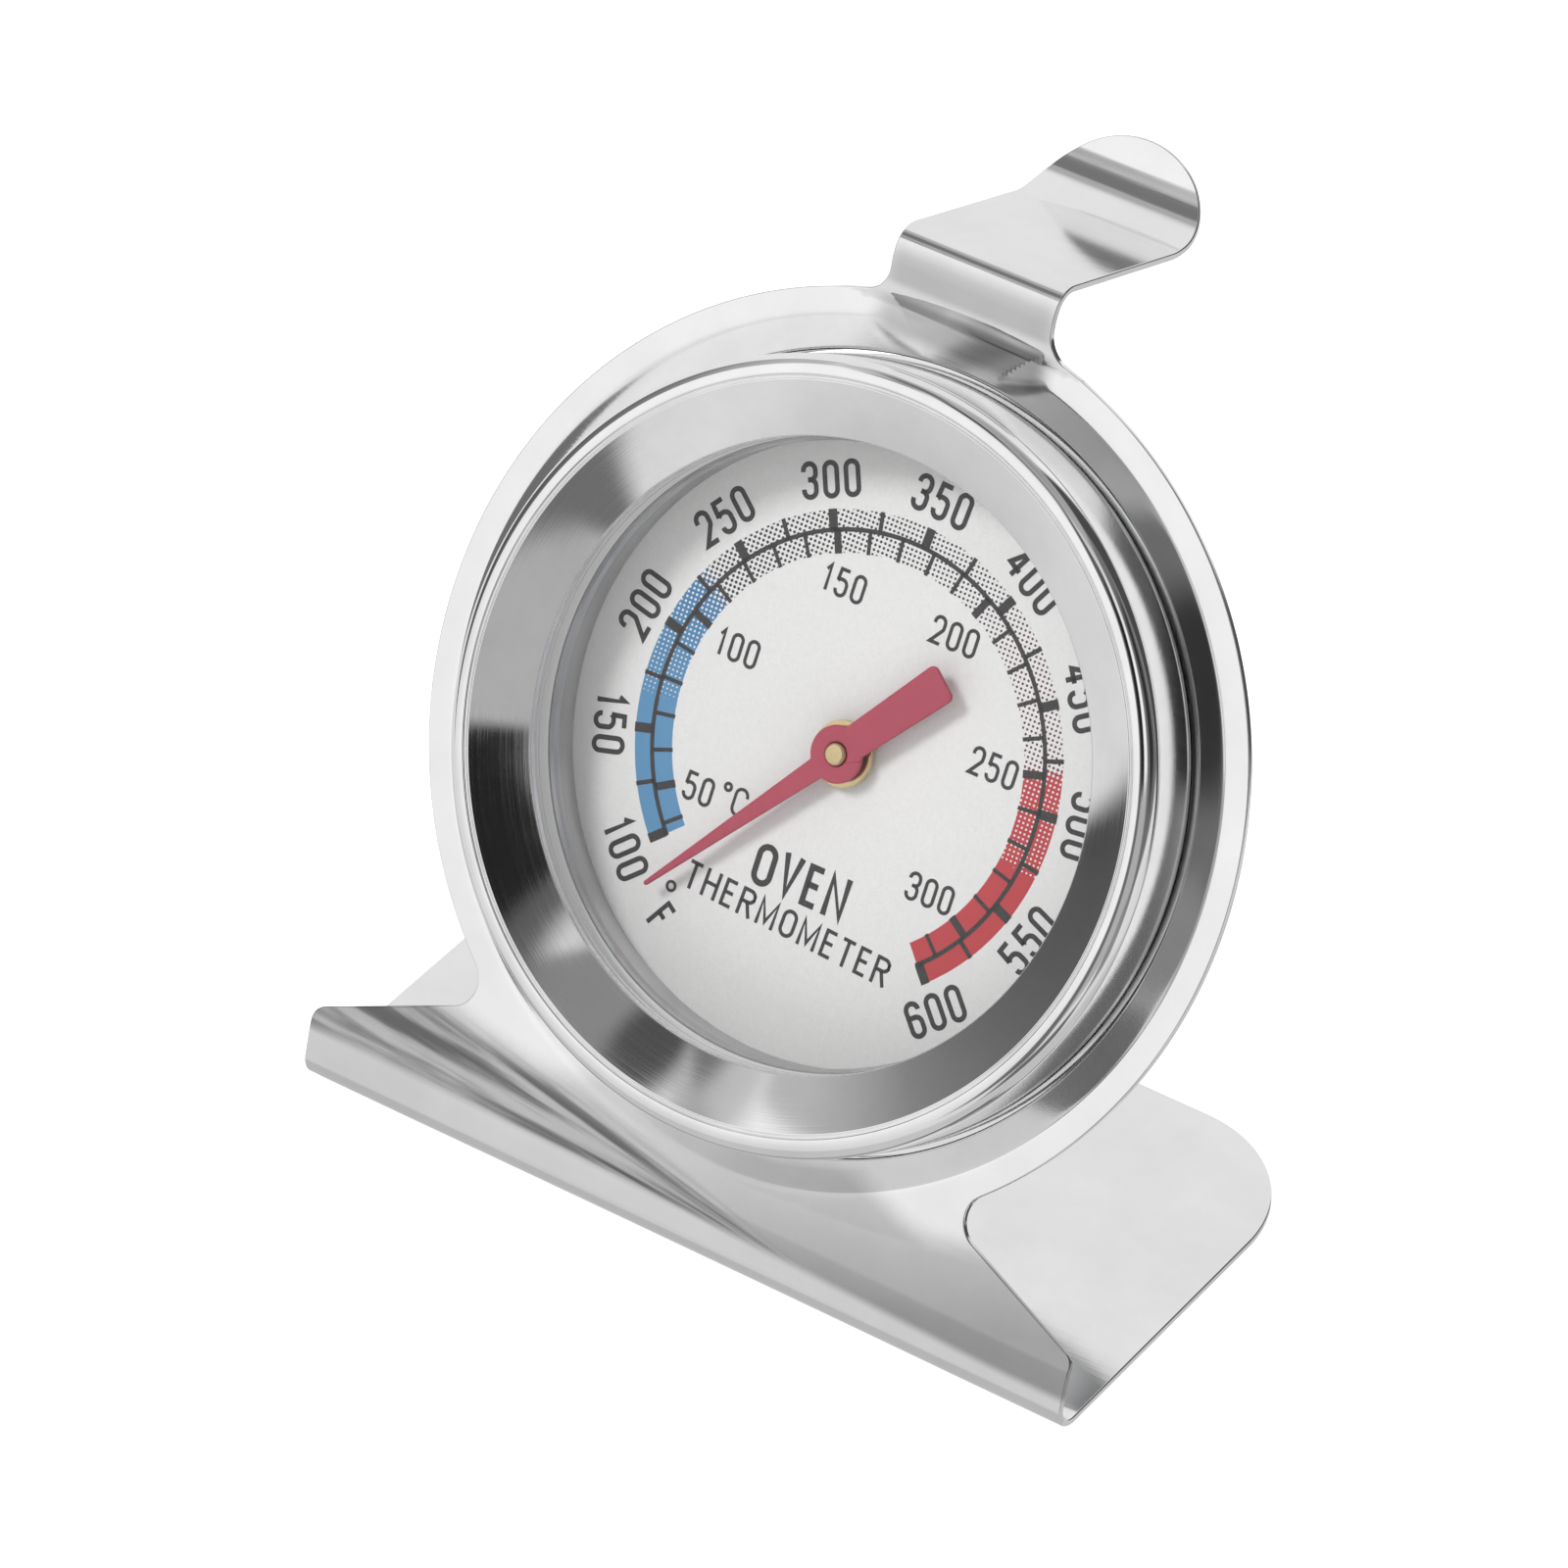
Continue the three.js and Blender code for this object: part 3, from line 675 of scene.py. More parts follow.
def panel_shade(shader):
    """Painted stand-in for reflections on the stand: 1 where plain, less where it is darkened.

    It covers the drawn panel with streaks to the left, the lip, and the hook's neck and root. It is
    fixed to the object, so it stays put where a true reflection would move.
    """
    plus, minus, times, span = shader.plus, shader.minus, shader.times, shader.span
    x, y, z = shader.dial_xyz()
    curve = times(times(x, x), CREASE_CURVE)
    crease = shader.maths("MINIMUM", plus(curve, CREASE_MIDDLE_Z), CREASE_TOP_Z)
    lift = times(span(x, -14, -4, 0, 3, True), span(x, 9, 18, 1, 0, True))
    below = span(minus(plus(crease, lift), z), -1.8, 0.5, 0, 1, True)
    front = span(y, 0.6, 1, 1, 0)

    fan = shader.maths("DEGREES", shader.maths("ARCTAN2", plus(z, 32.5), minus(14, x)))
    along = shader.vector(X=times(fan, 0.5), Y=times(x, 0.05))
    noise = shader.node("ShaderNodeTexNoise", {"Vector": along, "Scale": 1, "Detail": 4}).outputs["Fac"]
    streak = span(noise, 0.36, 0.62, 0.16, 0.55, True)
    left = times(span(x, 1, 12, 1, 0, True), span(fan, 9, 14, 1, 0, True))
    fall = minus(times(x, 0.06), times(plus(z, 28), 0.25))
    plain = span(fall, -0.8, 1.9, 0.77, 0.42)
    panel = plus(plain, times(left, minus(streak, plain)))

    lip_z = span(x, -24, 26, -30.7, -32.1)
    on_lip = span(minus(z, lip_z), -0.5, 0.3, 1, 0, True)
    shade = plus(panel, times(on_lip, minus(0.87, panel)))
    low = plus(1, times(times(below, front), minus(shade, 1)))

    middle = span(shader.maths("ABSOLUTE", x), 5.2, 7.4, 1, 0, True)
    neck = times(span(z, 29.7, 30.4, 0, 0.3, True), span(z, 32, 33.2, 1, 0, True))
    root = times(span(z, 26.2, 27.4, 0, 1, True), span(z, 28.9, 29.5, 1, 0, True))
    root = times(root, span(x, -6, 6, 0.3, 0.6))
    return times(low, minus(1, times(middle, plus(neck, root))))


def polished_steel(name, tint, roughness, grain_scale, grain, shade=None):
    """Rolled stainless: a fine grain one way, with faint smudges in its polish."""
    shader = Shader(name)
    rolled = shader.noise(grain_scale, detail=4)
    smudge = shader.noise((0.11, 0.11, 0.11), detail=5, roughness=0.65)
    colour = shader.mix(
        shader.span(smudge, 0.35, 0.7, 0, 1),
        tuple(c * 0.93 for c in tint) + (1,),
        tint + (1,),
    )
    # Painted shade: the colour times the level that `shade` gives, a stand-in for reflections fixed to the
    # object.
    if shade is not None:
        colour = shader.shaded(colour, shade(shader))
    polish = shader.plus(
        shader.span(smudge, 0.3, 0.75, roughness * 1.3, roughness * 0.75),
        shader.span(rolled, 0.3, 0.7, -0.02, 0.02),
    )
    shader.set(Base_Color=colour, Metallic=1, Roughness=polish)
    shader.bump(rolled, grain, 0.02)
    return shader.material


def turned_metal(name, tint, roughness, ring_pitch, cut_r=None):
    """Metal turned or spun about the dial's axis, with fine rings and perhaps a dull edge at cut_r."""
    shader = Shader(name)
    x, y, z = shader.dial_xyz()
    radius = shader.dial_radius(x, z)
    at = shader.vector(
        X=shader.maths("DIVIDE", radius, ring_pitch), Y=shader.maths("DIVIDE", y, ring_pitch)
    )
    rings = shader.node("ShaderNodeTexNoise", {"Vector": at, "Scale": 1, "Detail": 3}).outputs["Fac"]
    smudge = shader.noise((0.16, 0.16, 0.16), detail=4, roughness=0.6)
    colour = shader.mix(
        shader.span(smudge, 0.35, 0.7, 0, 1),
        tuple(c * 0.92 for c in tint) + (1,),
        tint + (1,),
    )
    polish = shader.plus(
        shader.span(smudge, 0.3, 0.75, roughness * 1.3, roughness * 0.75),
        shader.span(rings, 0.3, 0.7, -0.03, 0.03),
    )
    if cut_r is not None:
        polish = shader.plus(polish, shader.span(radius, cut_r + 0.02, cut_r + 0.12, 0.45, 0))
    shader.set(Base_Color=colour, Metallic=1, Roughness=polish)
    shader.bump(rings, 0.05, 0.02)
    return shader.material


def rough_solid(name, colour, roughness, speckle):
    """Paint, ink or rubber with a fine speckle in its colour and a slight texture."""
    shader = Shader(name)
    fine = shader.noise((speckle, speckle, speckle), detail=4, roughness=0.6)
    broad = shader.noise((0.3, 0.3, 0.3), detail=3)
    shade = shader.plus(shader.span(fine, 0.3, 0.7, 0.92, 1.04), shader.span(broad, 0.3, 0.7, -0.03, 0.03))
    shader.set(
        Base_Color=shader.shaded(colour, shade),
        Roughness=shader.span(fine, 0.3, 0.7, roughness - 0.06, roughness + 0.06),
    )
    shader.bump(fine, 0.15, 0.03)
    return shader.material


def lens_glass_material():
    """Clear flat glass with faint smudges; its grey border emits a little, a painted glow that keeps it
    pale in the shade under the bezel's lip.
    """
    shader = Shader("lens glass")
    smudge = shader.noise((0.15, 0.15, 0.15), detail=5, roughness=0.7)
    x, _, z = shader.dial_xyz()
    # Past the window the glass is opaque grey with a painted glow, pale where the bezel's lip shades it.
    glowing_border = shader.span(shader.dial_radius(x, z), WINDOW_R - 0.05, WINDOW_R + 0.03, 0, 1)
    shader.set(
        Base_Color=shader.mix(glowing_border, (0.2, 0.21, 0.21, 1), grey(0.5)),
        Roughness=shader.span(smudge, 0.4, 0.7, 0.02, 0.09),
        Alpha=shader.span(glowing_border, 0, 1, 0.05, 1),
        Emission_Color=grey(1),
        Emission_Strength=shader.span(glowing_border, 0, 1, 0, 0.15),
        IOR=1.3,
    )
    return shader.material


BAND = (12.9, 15.7)
ARC_R = 14.4
INK = (0.05, 0.046, 0.047, 1)
PAPER = (0.83, 0.825, 0.82, 1)
BLUE = (0.11, 0.29, 0.5, 1)
BLUE_DOTS = (0.06, 0.21, 0.42, 1)
GREY_DOTS = (0.05, 0.048, 0.052, 1)
DARK_RED_DOTS = (0.12, 0.035, 0.045, 1)
RED = (0.52, 0.055, 0.065, 1)
DOT_PITCH = 0.46


def scale_place(fahrenheit):
    return (fahrenheit - 100) / 500


def dial_material():
    """Off-white enamel with the scale's coloured band: solid at both ends, dots between them."""
    shader = Shader("dial print")
    x, _, z = shader.dial_xyz()
    radius = shader.dial_radius(x, z)
    clockwise = shader.maths("DEGREES", shader.maths("ARCTAN2", x, z))
    place = shader.span(clockwise, clock_angle(100), clock_angle(600), 0, 1)
    on_scale = shader.times(
        shader.maths("GREATER_THAN", clockwise, clock_angle(100) - 0.6),
        shader.maths("LESS_THAN", clockwise, clock_angle(600) + 0.6),
    )
    in_band = shader.times(
        shader.maths("GREATER_THAN", radius, BAND[0]),
        shader.maths("LESS_THAN", radius, BAND[1]),
    )
    wave = 2 * math.pi / (DOT_PITCH * math.sqrt(2))
    dots = shader.times(
        shader.maths("COSINE", shader.times(shader.plus(x, z), wave)),
        shader.maths("COSINE", shader.times(shader.minus(x, z), wave)),
    )
    cover = shader.ramp(place, [
        (0, grey(1)),
        (scale_place(163), grey(1)),
        (scale_place(170), grey(0.8)),
        (scale_place(222), grey(0.68)),
        (scale_place(232), grey(0.46)),
        (scale_place(300), grey(0.41)),
        (scale_place(400), grey(0.35)),
        (scale_place(478), grey(0.35)),
        (scale_place(482), grey(0.72)),
        (scale_place(528), grey(0.76)),
        (scale_place(530), grey(1)),
    ])
    level = shader.plus(dots, shader.span(cover, 0, 1, -1.2, 1.2))
    inked = shader.maths("GREATER_THAN", level, 0.05)
    colour = shader.ramp(place, [
        (0, BLUE),
        (scale_place(165), BLUE),
        (scale_place(222), BLUE_DOTS),
        (scale_place(234), GREY_DOTS),
        (scale_place(390), GREY_DOTS),
        (scale_place(420), DARK_RED_DOTS),
        (scale_place(478), DARK_RED_DOTS),
        (scale_place(482), RED),
    ])
    fine = shader.noise((6, 6, 6), detail=3, roughness=0.7)
    speck = tuple(c * 0.9 for c in PAPER[:3]) + (1,)
    base = shader.mix(shader.span(fine, 0.3, 0.7, 0, 1), speck, PAPER)
    mask = shader.times(inked, shader.times(on_scale, in_band))
    shader.set(
        Base_Color=shader.mix(mask, base, colour),
        Roughness=shader.span(fine, 0.3, 0.7, 0.5, 0.65),
    )
    shader.bump(fine, 0.08, 0.02)
    return shader.material


# ---- Turned and stamped pieces ---------------------------------------------------------------

def bezel():
    """The rolled ring round the window: a flat cone, a narrow groove and a round rim bead."""
    skirt_r = CASE_R + 0.05
    front = rounded(
        [
            (WINDOW_R, -2.4),
            (WINDOW_R, -2.85),
            (24.05, -4.85),
            (24.2, -4.62),
            (24.34, -4.94),
            (skirt_r, -4.94),
            (skirt_r, 5.1),
            (CASE_R - 2, 5.1),
            (CASE_R - 2, 4.7),
            (CASE_R - 0.35, 4.7),
            (CASE_R - 0.35, -4.35),
            (STACK_R, -4.35),
            (20.6, -2.4),
        ],
        {1: 0.16, 2: 0.08, 3: 0.07, 4: 0.17, 5: 1.16, 6: 0.6, 7: 0.12, 8: 0.12, 9: 0.3, 10: 0.3},
        6,
    )
    return turned("rolled_bezel", front, 384)


def seat_ring():
    """The ring the glass rests on, with its round bead towards the window."""
    inner_r, bead_r, front, back = WINDOW_R - 0.1, WINDOW_R - 0.32, -0.65, 1.08
    corners = [
        (STACK_R, front),
        (inner_r, front),
        (inner_r, -0.2),
        (bead_r, 0.2),
        (inner_r, 0.6),
        (inner_r, back),
        (STACK_R, back),
    ]
    return turned("glass_seat_ring", rounded(corners, {2: 0.2, 3: 0.3, 4: 0.2}))


def plain_ring(name, inner_r, outer_r, front, back, edge):
    corners = [(inner_r, front), (outer_r, front), (outer_r, back), (inner_r, back)]
    return turned(name, rounded(corners, dict.fromkeys(range(4), edge), 30))


def turned_bush(name, flange_r, front, flange_back, back):
    bore_r, sleeve_r = 1.05, 1.45
    corners = [
        (bore_r, front),
        (flange_r, front),
        (flange_r, flange_back),
        (sleeve_r, flange_back),
        (sleeve_r, back),
        (bore_r, back),
    ]
    return turned(name, rounded(corners, {0: 0.06, 1: 0.1, 2: 0.06, 4: 0.06}, 30), 64)


def pierced(piece, cutters):
    """The piece with the cutters' shapes taken out of it."""
    for cutter in cutters:
        hole = piece.modifiers.new("hole", "BOOLEAN")
        hole.operation = "DIFFERENCE"
        hole.solver = "EXACT"
        hole.object = cutter
    bpy.context.view_layer.update()
    shape = bpy.data.meshes.new_from_object(piece.evaluated_get(bpy.context.evaluated_depsgraph_get()))
    piece.modifiers.clear()
    piece.data = shape
    shape.shade_smooth()
    shape.set_sharp_from_angle(angle=math.radians(30))
    for cutter in cutters:
        bpy.data.objects.remove(cutter)
    return piece


def upright_prism(name, outline, front, back):
    """A flat shape in dial (x, z), as thick as from front to back."""
    count = len(outline)
    vertices = [(x, y, z) for y in (front, back) for x, z in outline]
    faces = [tuple(range(count)), tuple(range(2 * count - 1, count - 1, -1))]
    faces += [(i, count + i, count + (i + 1) % count, (i + 1) % count) for i in range(count)]
    return make_piece(name, vertices, outward(vertices, faces))


def vent_outline(angle):
    radius, half_width, half_span = VENT_R, 1.2, math.radians(17)
    start, stop = angle - half_span, angle + half_span

    def end(a):
        return (radius * math.cos(a), radius * math.sin(a))

    outline = arc_points((0, 0), radius + half_width, start, stop, 0.4)
    outline += arc_points(end(stop), half_width, stop, stop + math.pi, 0.3)[1:]
    outline += arc_points((0, 0), radius - half_width, stop, start, 0.4)[1:]
    outline += arc_points(end(start), half_width, start + math.pi, start + 2 * math.pi, 0.3)[1:-1]
    return outline


def drawn_cup():
    """The deep-drawn case behind the dial, with its six vents."""
    mouth, shoulder, bush_hole_r = -0.6, 4.3, 1.75
    outer = [
        (CUP_MOUTH_R, mouth),
        (CUP_MOUTH_R, shoulder),
        (CAN_R, shoulder),
        (CAN_R, FLOOR_BACK),
        (bush_hole_r, FLOOR_BACK),
    ]
    inner = [
        (bush_hole_r, FLOOR_BACK - CUP_SHEET),
        (CAN_R - CUP_SHEET, FLOOR_BACK - CUP_SHEET),
        (CAN_R - CUP_SHEET, shoulder - CUP_SHEET),
        (CUP_MOUTH_R - CUP_SHEET, shoulder - CUP_SHEET),
        (CUP_MOUTH_R - CUP_SHEET, mouth),
    ]
    radii = {0: 0.1, 1: 0.8, 2: 0.5, 3: 1, 4: 0.1, 5: 0.1, 6: 0.5, 7: 1, 8: 0.3, 9: 0.1}
    line = rounded(outer + inner, radii)
    # An odd number of sides keeps the mesh's lines off the holes' centres.
    cup = turned("drawn_cup", line, 191)
    outlines = [vent_outline(math.radians(30 + 60 * i)) for i in range(6)]
    holes = ((RIVET_X, 0, RIVET_HOLE_R), (-RIVET_X, 0, RIVET_HOLE_R), (0, ANCHOR_Z, ANCHOR_HOLE_R))
    for x, z, radius in holes:
        outlines.append(arc_points((x, z), radius, 0, 2 * math.pi, 0.2)[:-1])
    front, back = FLOOR_BACK - 1.3, FLOOR_BACK + 0.7
    return pierced(cup, [upright_prism("cutter", outline, front, back) for outline in outlines])


def rivet(name, x, z, shank_r, head_r, start_y):
    """A round pin with a domed head at the back of the cup."""
    corners = [
        (0, start_y),
        (shank_r, start_y),
        (shank_r, HEAD_FRONT),
        (head_r, HEAD_FRONT),
        (head_r * 0.82, HEAD_FRONT + 0.48),
        (0, HEAD_FRONT + 0.55),
    ]
    piece = turned(name, rounded(corners, {1: 0.15, 3: 0.08, 4: 0.35}, 20), 48, closed=False)
    piece.data.transform(Matrix.Translation(Vector((x, 0, z)) * MM))
    return piece


def pointer_plate():
    """The stamped pointer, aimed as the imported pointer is, with softened edges."""
    tip_half, root_half, neck_half, tail_half, tail_round = 0.16, 0.72, 1.12, 1.34, 0.45
    hub_r, tip_r, tail_r, bore_r = 1.9, 16.7, 9.2, 0.8
    hub_top = math.atan2(math.sqrt(hub_r**2 - root_half**2), root_half)
    hub_low = math.atan2(-math.sqrt(hub_r**2 - neck_half**2), neck_half)
    outline = arc_points((0, tip_r - tip_half), tip_half, 0, math.pi, 0.08)
    outline += arc_points((0, 0), hub_r, math.pi - hub_top, math.pi - hub_low, 0.15)
    tail = [(-neck_half, -2), (-tail_half, -tail_r), (tail_half, -tail_r), (neck_half, -2)]
    outline += [tuple(p) for p in rounded(tail, {1: tail_round, 2: tail_round}, 15)[1:-1]]
    outline += arc_points((0, 0), hub_r, hub_low, hub_top, 0.15)
    plate = upright_prism("stamped_pointer", outline, 1, 1.3)
    bore = arc_points((0, 0), bore_r, 0, 2 * math.pi, 0.15)[:-1]
    plate = pierced(plate, [upright_prism("cutter", bore, 0, 2)])
    soften(plate, 0.09)
    plate.data.transform(Matrix.Rotation(pointer_turn(), 4, "Y"))
    return plate


def soften(piece, width):
    """Rounds every sharp edge of the piece."""
    edge = piece.modifiers.new("edge", "BEVEL")
    edge.width = width * MM
    edge.segments = 3
    edge.limit_method = "ANGLE"
    edge.angle_limit = math.radians(40)
    bpy.context.view_layer.update()
    shape = bpy.data.meshes.new_from_object(piece.evaluated_get(bpy.context.evaluated_depsgraph_get()))
    piece.modifiers.clear()
    piece.data = shape


def pointer_turn():
    """The pointer's turn about the dial's axis at rest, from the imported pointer's far tip."""
    to_dial = DIAL_FRAME.inverted()
    corners = [to_dial @ v.co for v in frame["nodes"]["pointer"].data.vertices]
    tip = max(corners, key=lambda p: p.xz.length)
    return math.atan2(tip.x, tip.z)


# ---- Print on the dial -----------------------------------------------------------------------

def glyph_strokes(letter, w, s):
    """Centre lines of one letter's strokes, for a letter w wide, 1 high and s thick in the stroke.

    Each stroke is (closed, corners, radii), as `rounded` takes them.
    """
    w, h = w - s, 1 - s
    half = w / 2 * 0.98
    snug = half * 0.9
    bar = h * 0.52
    end = s / 2
    round_loop = {0: half, 1: half, 2: half, 3: half}

    def stroke(*corners, radii=None, closed=False):
        return (closed, list(corners), radii or {})

    strokes = {
        "0": [stroke((0, 0), (w, 0), (w, h), (0, h), radii=round_loop, closed=True)],
        "1": [stroke((w * 0.62, 0), (w * 0.62, h), (w * 0.1, h * 0.78))],
        "2": [
            stroke(
                (0, h * 0.72), (0, h), (w, h), (w, h * 0.56), (0, 0), (w, 0),
                radii={1: half, 2: half, 3: 0.12},
            ),
        ],
        "3": [
            stroke(
                (0, h * 0.76), (0, h), (w, h), (w, bar), (w * 0.35, bar),
                radii={1: half, 2: half, 3: snug},
            ),
            stroke(
                (w * 0.35, bar), (w, bar), (w, 0), (0, 0), (0, h * 0.24),
                radii={1: snug, 2: half, 3: half},
            ),
        ],
        "4": [
            stroke((w * 0.74, 0), (w * 0.74, h)),
            stroke((w * 0.7, h), (0, h * 0.26), (w * 1.1, h * 0.26)),
        ],
        "5": [
            stroke((w * 0.95, h), (w * 0.1, h), (w * 0.03, h * 0.54)),
            stroke(
                (w * 0.03, h * 0.54), (w * 0.25, h * 0.62), (w, h * 0.62), (w, 0), (0, 0), (0, h * 0.22),
                radii={1: 0.1, 2: half, 3: half, 4: half},
            ),
        ],
        "6": [
            stroke(
                (w, h * 0.78), (w, h), (0, h), (0, 0), (w, 0), (w, h * 0.58), (0.02, h * 0.58),
                radii={1: half, 2: half, 3: half, 4: half, 5: half},
            ),
        ],
        "C": [
            stroke(
                (w, h * 0.72), (w, h), (0, h), (0, 0), (w, 0), (w, h * 0.28),
                radii={1: half, 2: half, 3: half, 4: half},
            ),
        ],
        "E": [stroke((w, h), (0, h), (0, 0), (w, 0)), stroke((0, bar), (w * 0.9, bar))],
        "F": [stroke((w, h), (0, h), (0, -end)), stroke((0, bar), (w * 0.85, bar))],
        "H": [stroke((0, -end), (0, h + end)), stroke((w, -end), (w, h + end)), stroke((0, bar), (w, bar))],
        "M": [stroke((0, -end), (0, h), (w / 2, h * 0.12), (w, h), (w, -end))],
        "N": [stroke((0, -end), (0, h), (w, 0), (w, h + end))],
        "R": [
            stroke((0, -end), (0, h), (w, h), (w, bar), (0, bar), radii={2: snug, 3: snug}),
            stroke((w * 0.5, bar), (w, -end)),
        ],
        "T": [stroke((-s / 3, h), (w + s / 3, h)), stroke((w / 2, h), (w / 2, -end))],
        "V": [stroke((0, h + end), (w / 2, 0), (w, h + end))],
        "°": [stroke((0, h - w), (w, h - w), (w, h), (0, h), radii=round_loop, closed=True)],
    }
    strokes["O"] = strokes["0"]
    return strokes[letter]


class Ink:
    """Thin printed strokes gathered into one mesh on the dial's face."""

    THICK = 0.012

    def __init__(self):
        self.vertices = []
        self.faces = []

    def ribbon(self, points, width, loop=False):
        """A stroke of the given width along (x, z) points, its corners mitred."""
        line = [Vector(p) for p in points]
        if loop and (line[0] - line[-1]).length < 1e-6:
            line.pop()
        sides = []
        count = len(line)
        for i, p in enumerate(line):
            before = line[i - 1] if loop or i else None
            after = line[(i + 1) % count] if loop or i < count - 1 else None
            a = (p - before).normalized() if before is not None else None
            b = (after - p).normalized() if after is not None else None
            along = (a or b) + (b or a)
            along.normalize()
            across = Vector((-along.y, along.x))
            reach = width / 2 / max(0.45, along.dot(a or b))
            sides.append((p + across * reach, p - across * reach))
        first = len(self.vertices)
        for left, right in sides:
            for y in (DIAL_FRONT - self.THICK, DIAL_FRONT + self.THICK):
                self.vertices.append((left.x, y, left.y))
                self.vertices.append((right.x, y, right.y))
        for i in range(count if loop else count - 1):
            a, b = first + 4 * i, first + 4 * ((i + 1) % count)
            self.faces += [
                (a, b, b + 1, a + 1),
                (a + 2, a + 3, b + 3, b + 2),
                (a, a + 2, b + 2, b),
                (a + 1, b + 1, b + 3, a + 3),
            ]
        if not loop:
            a, b = first, first + 4 * (count - 1)
            self.faces += [(a, a + 1, a + 3, a + 2), (b, b + 2, b + 3, b + 1)]

    def arc(self, radius, start_deg, stop_deg, width):
        step = (stop_deg - start_deg) / 180
        self.ribbon([clock_point(radius, start_deg + step * k) for k in range(181)], width)

    def tick(self, angle_deg, inner_r, outer_r, width):
        self.ribbon([clock_point(inner_r, angle_deg), clock_point(outer_r, angle_deg)], width)

    def word(self, text, middle, height, letter_width, stroke, gap, turn_deg=0):
        """Text centred on `middle` (x, z), turned clockwise by turn_deg; sizes in millimetres."""
        widths = [self.letter_width(c, letter_width) for c in text]
        total = sum(widths) + gap * (len(text) - 1)
        turn = Matrix.Rotation(-math.radians(turn_deg), 2)
        left = -total / 2
        for letter, wide in zip(text, widths):
            s = stroke / height
            for closed, corners, radii in glyph_strokes(letter, wide / height, s):
                placed = []
                for p in rounded(corners, radii, 12):
                    at = Vector((left + (p.x + s / 2) * height, (p.y + s / 2 - 0.5) * height))
                    placed.append(Vector(middle) + turn @ at)
                self.ribbon(placed, stroke, closed)
            left += wide + gap

    @staticmethod
    def letter_width(letter, usual):
        return usual * {"1": 0.72, "M": 1.22, "°": 0.62, "E": 0.84, "T": 0.88, "F": 0.85}.get(letter, 1)

    def mesh(self, name):
        return make_piece(name, self.vertices, self.faces)


def printed_scale():
    ink = Ink()
    ink.arc(ARC_R, clock_angle(100) - 1.1, clock_angle(600) + 1.1, 0.3)
    for fahrenheit in range(100, 601, 25):
        major = fahrenheit % 50 == 0
        width = 0.64 if major else 0.3
        ink.tick(clock_angle(fahrenheit), ARC_R, BAND[1] + 0.05, width)
    for celsius in range(40, 316, 10):
        fahrenheit = celsius * 1.8 + 32
        if 100 <= fahrenheit <= 600:
            major = celsius % 50 == 0
            ink.tick(clock_angle(fahrenheit), BAND[0] - 0.05, ARC_R, 0.52 if major else 0.27)
    return ink.mesh("printed_scale_lines")


def printed_numbers():
    ink = Ink()
    for fahrenheit in range(100, 601, 50):
        angle = clock_angle(fahrenheit)
        turn = angle
        if fahrenheit <= 150 or fahrenheit >= 550:
            turn = angle + 180
        ink.word(str(fahrenheit), clock_point(17.65, angle), 2.5, 1.22, 0.34, 0.34, turn)
    ink.word("°", (-9.59, -13.1), 1.9, 1.3, 0.2, 0.2, -127 + 180)
    ink.word("F", (-9.14, -14.89), 2.2, 1.2, 0.31, 0.3, -147 + 180)
    celsius_places = {
        50: (-9.4, -6.1),
        100: (-9.8, 3.5),
        150: (-3.9, 10.2),
        200: (4.8, 9.85),
        250: (10.3, 3.0),
        300: (8.75, -6.2),
    }
    for celsius, place in celsius_places.items():
        ink.word(str(celsius), place, 1.95, 0.98, 0.24, 0.28)
    ink.word("°C", (-6.7, -5.8), 1.95, 1.1, 0.22, 0.24)
    ink.word("OVEN", (-0.3, -8.95), 2.85, 1.6, 0.42, 0.36)
    ink.word("THERMOMETER", (-0.3, -11.85), 1.9, 1.17, 0.25, 0.36, 2.7)
    return ink.mesh("printed_numbers_and_words")


# ---- The studio ------------------------------------------------------------------------------

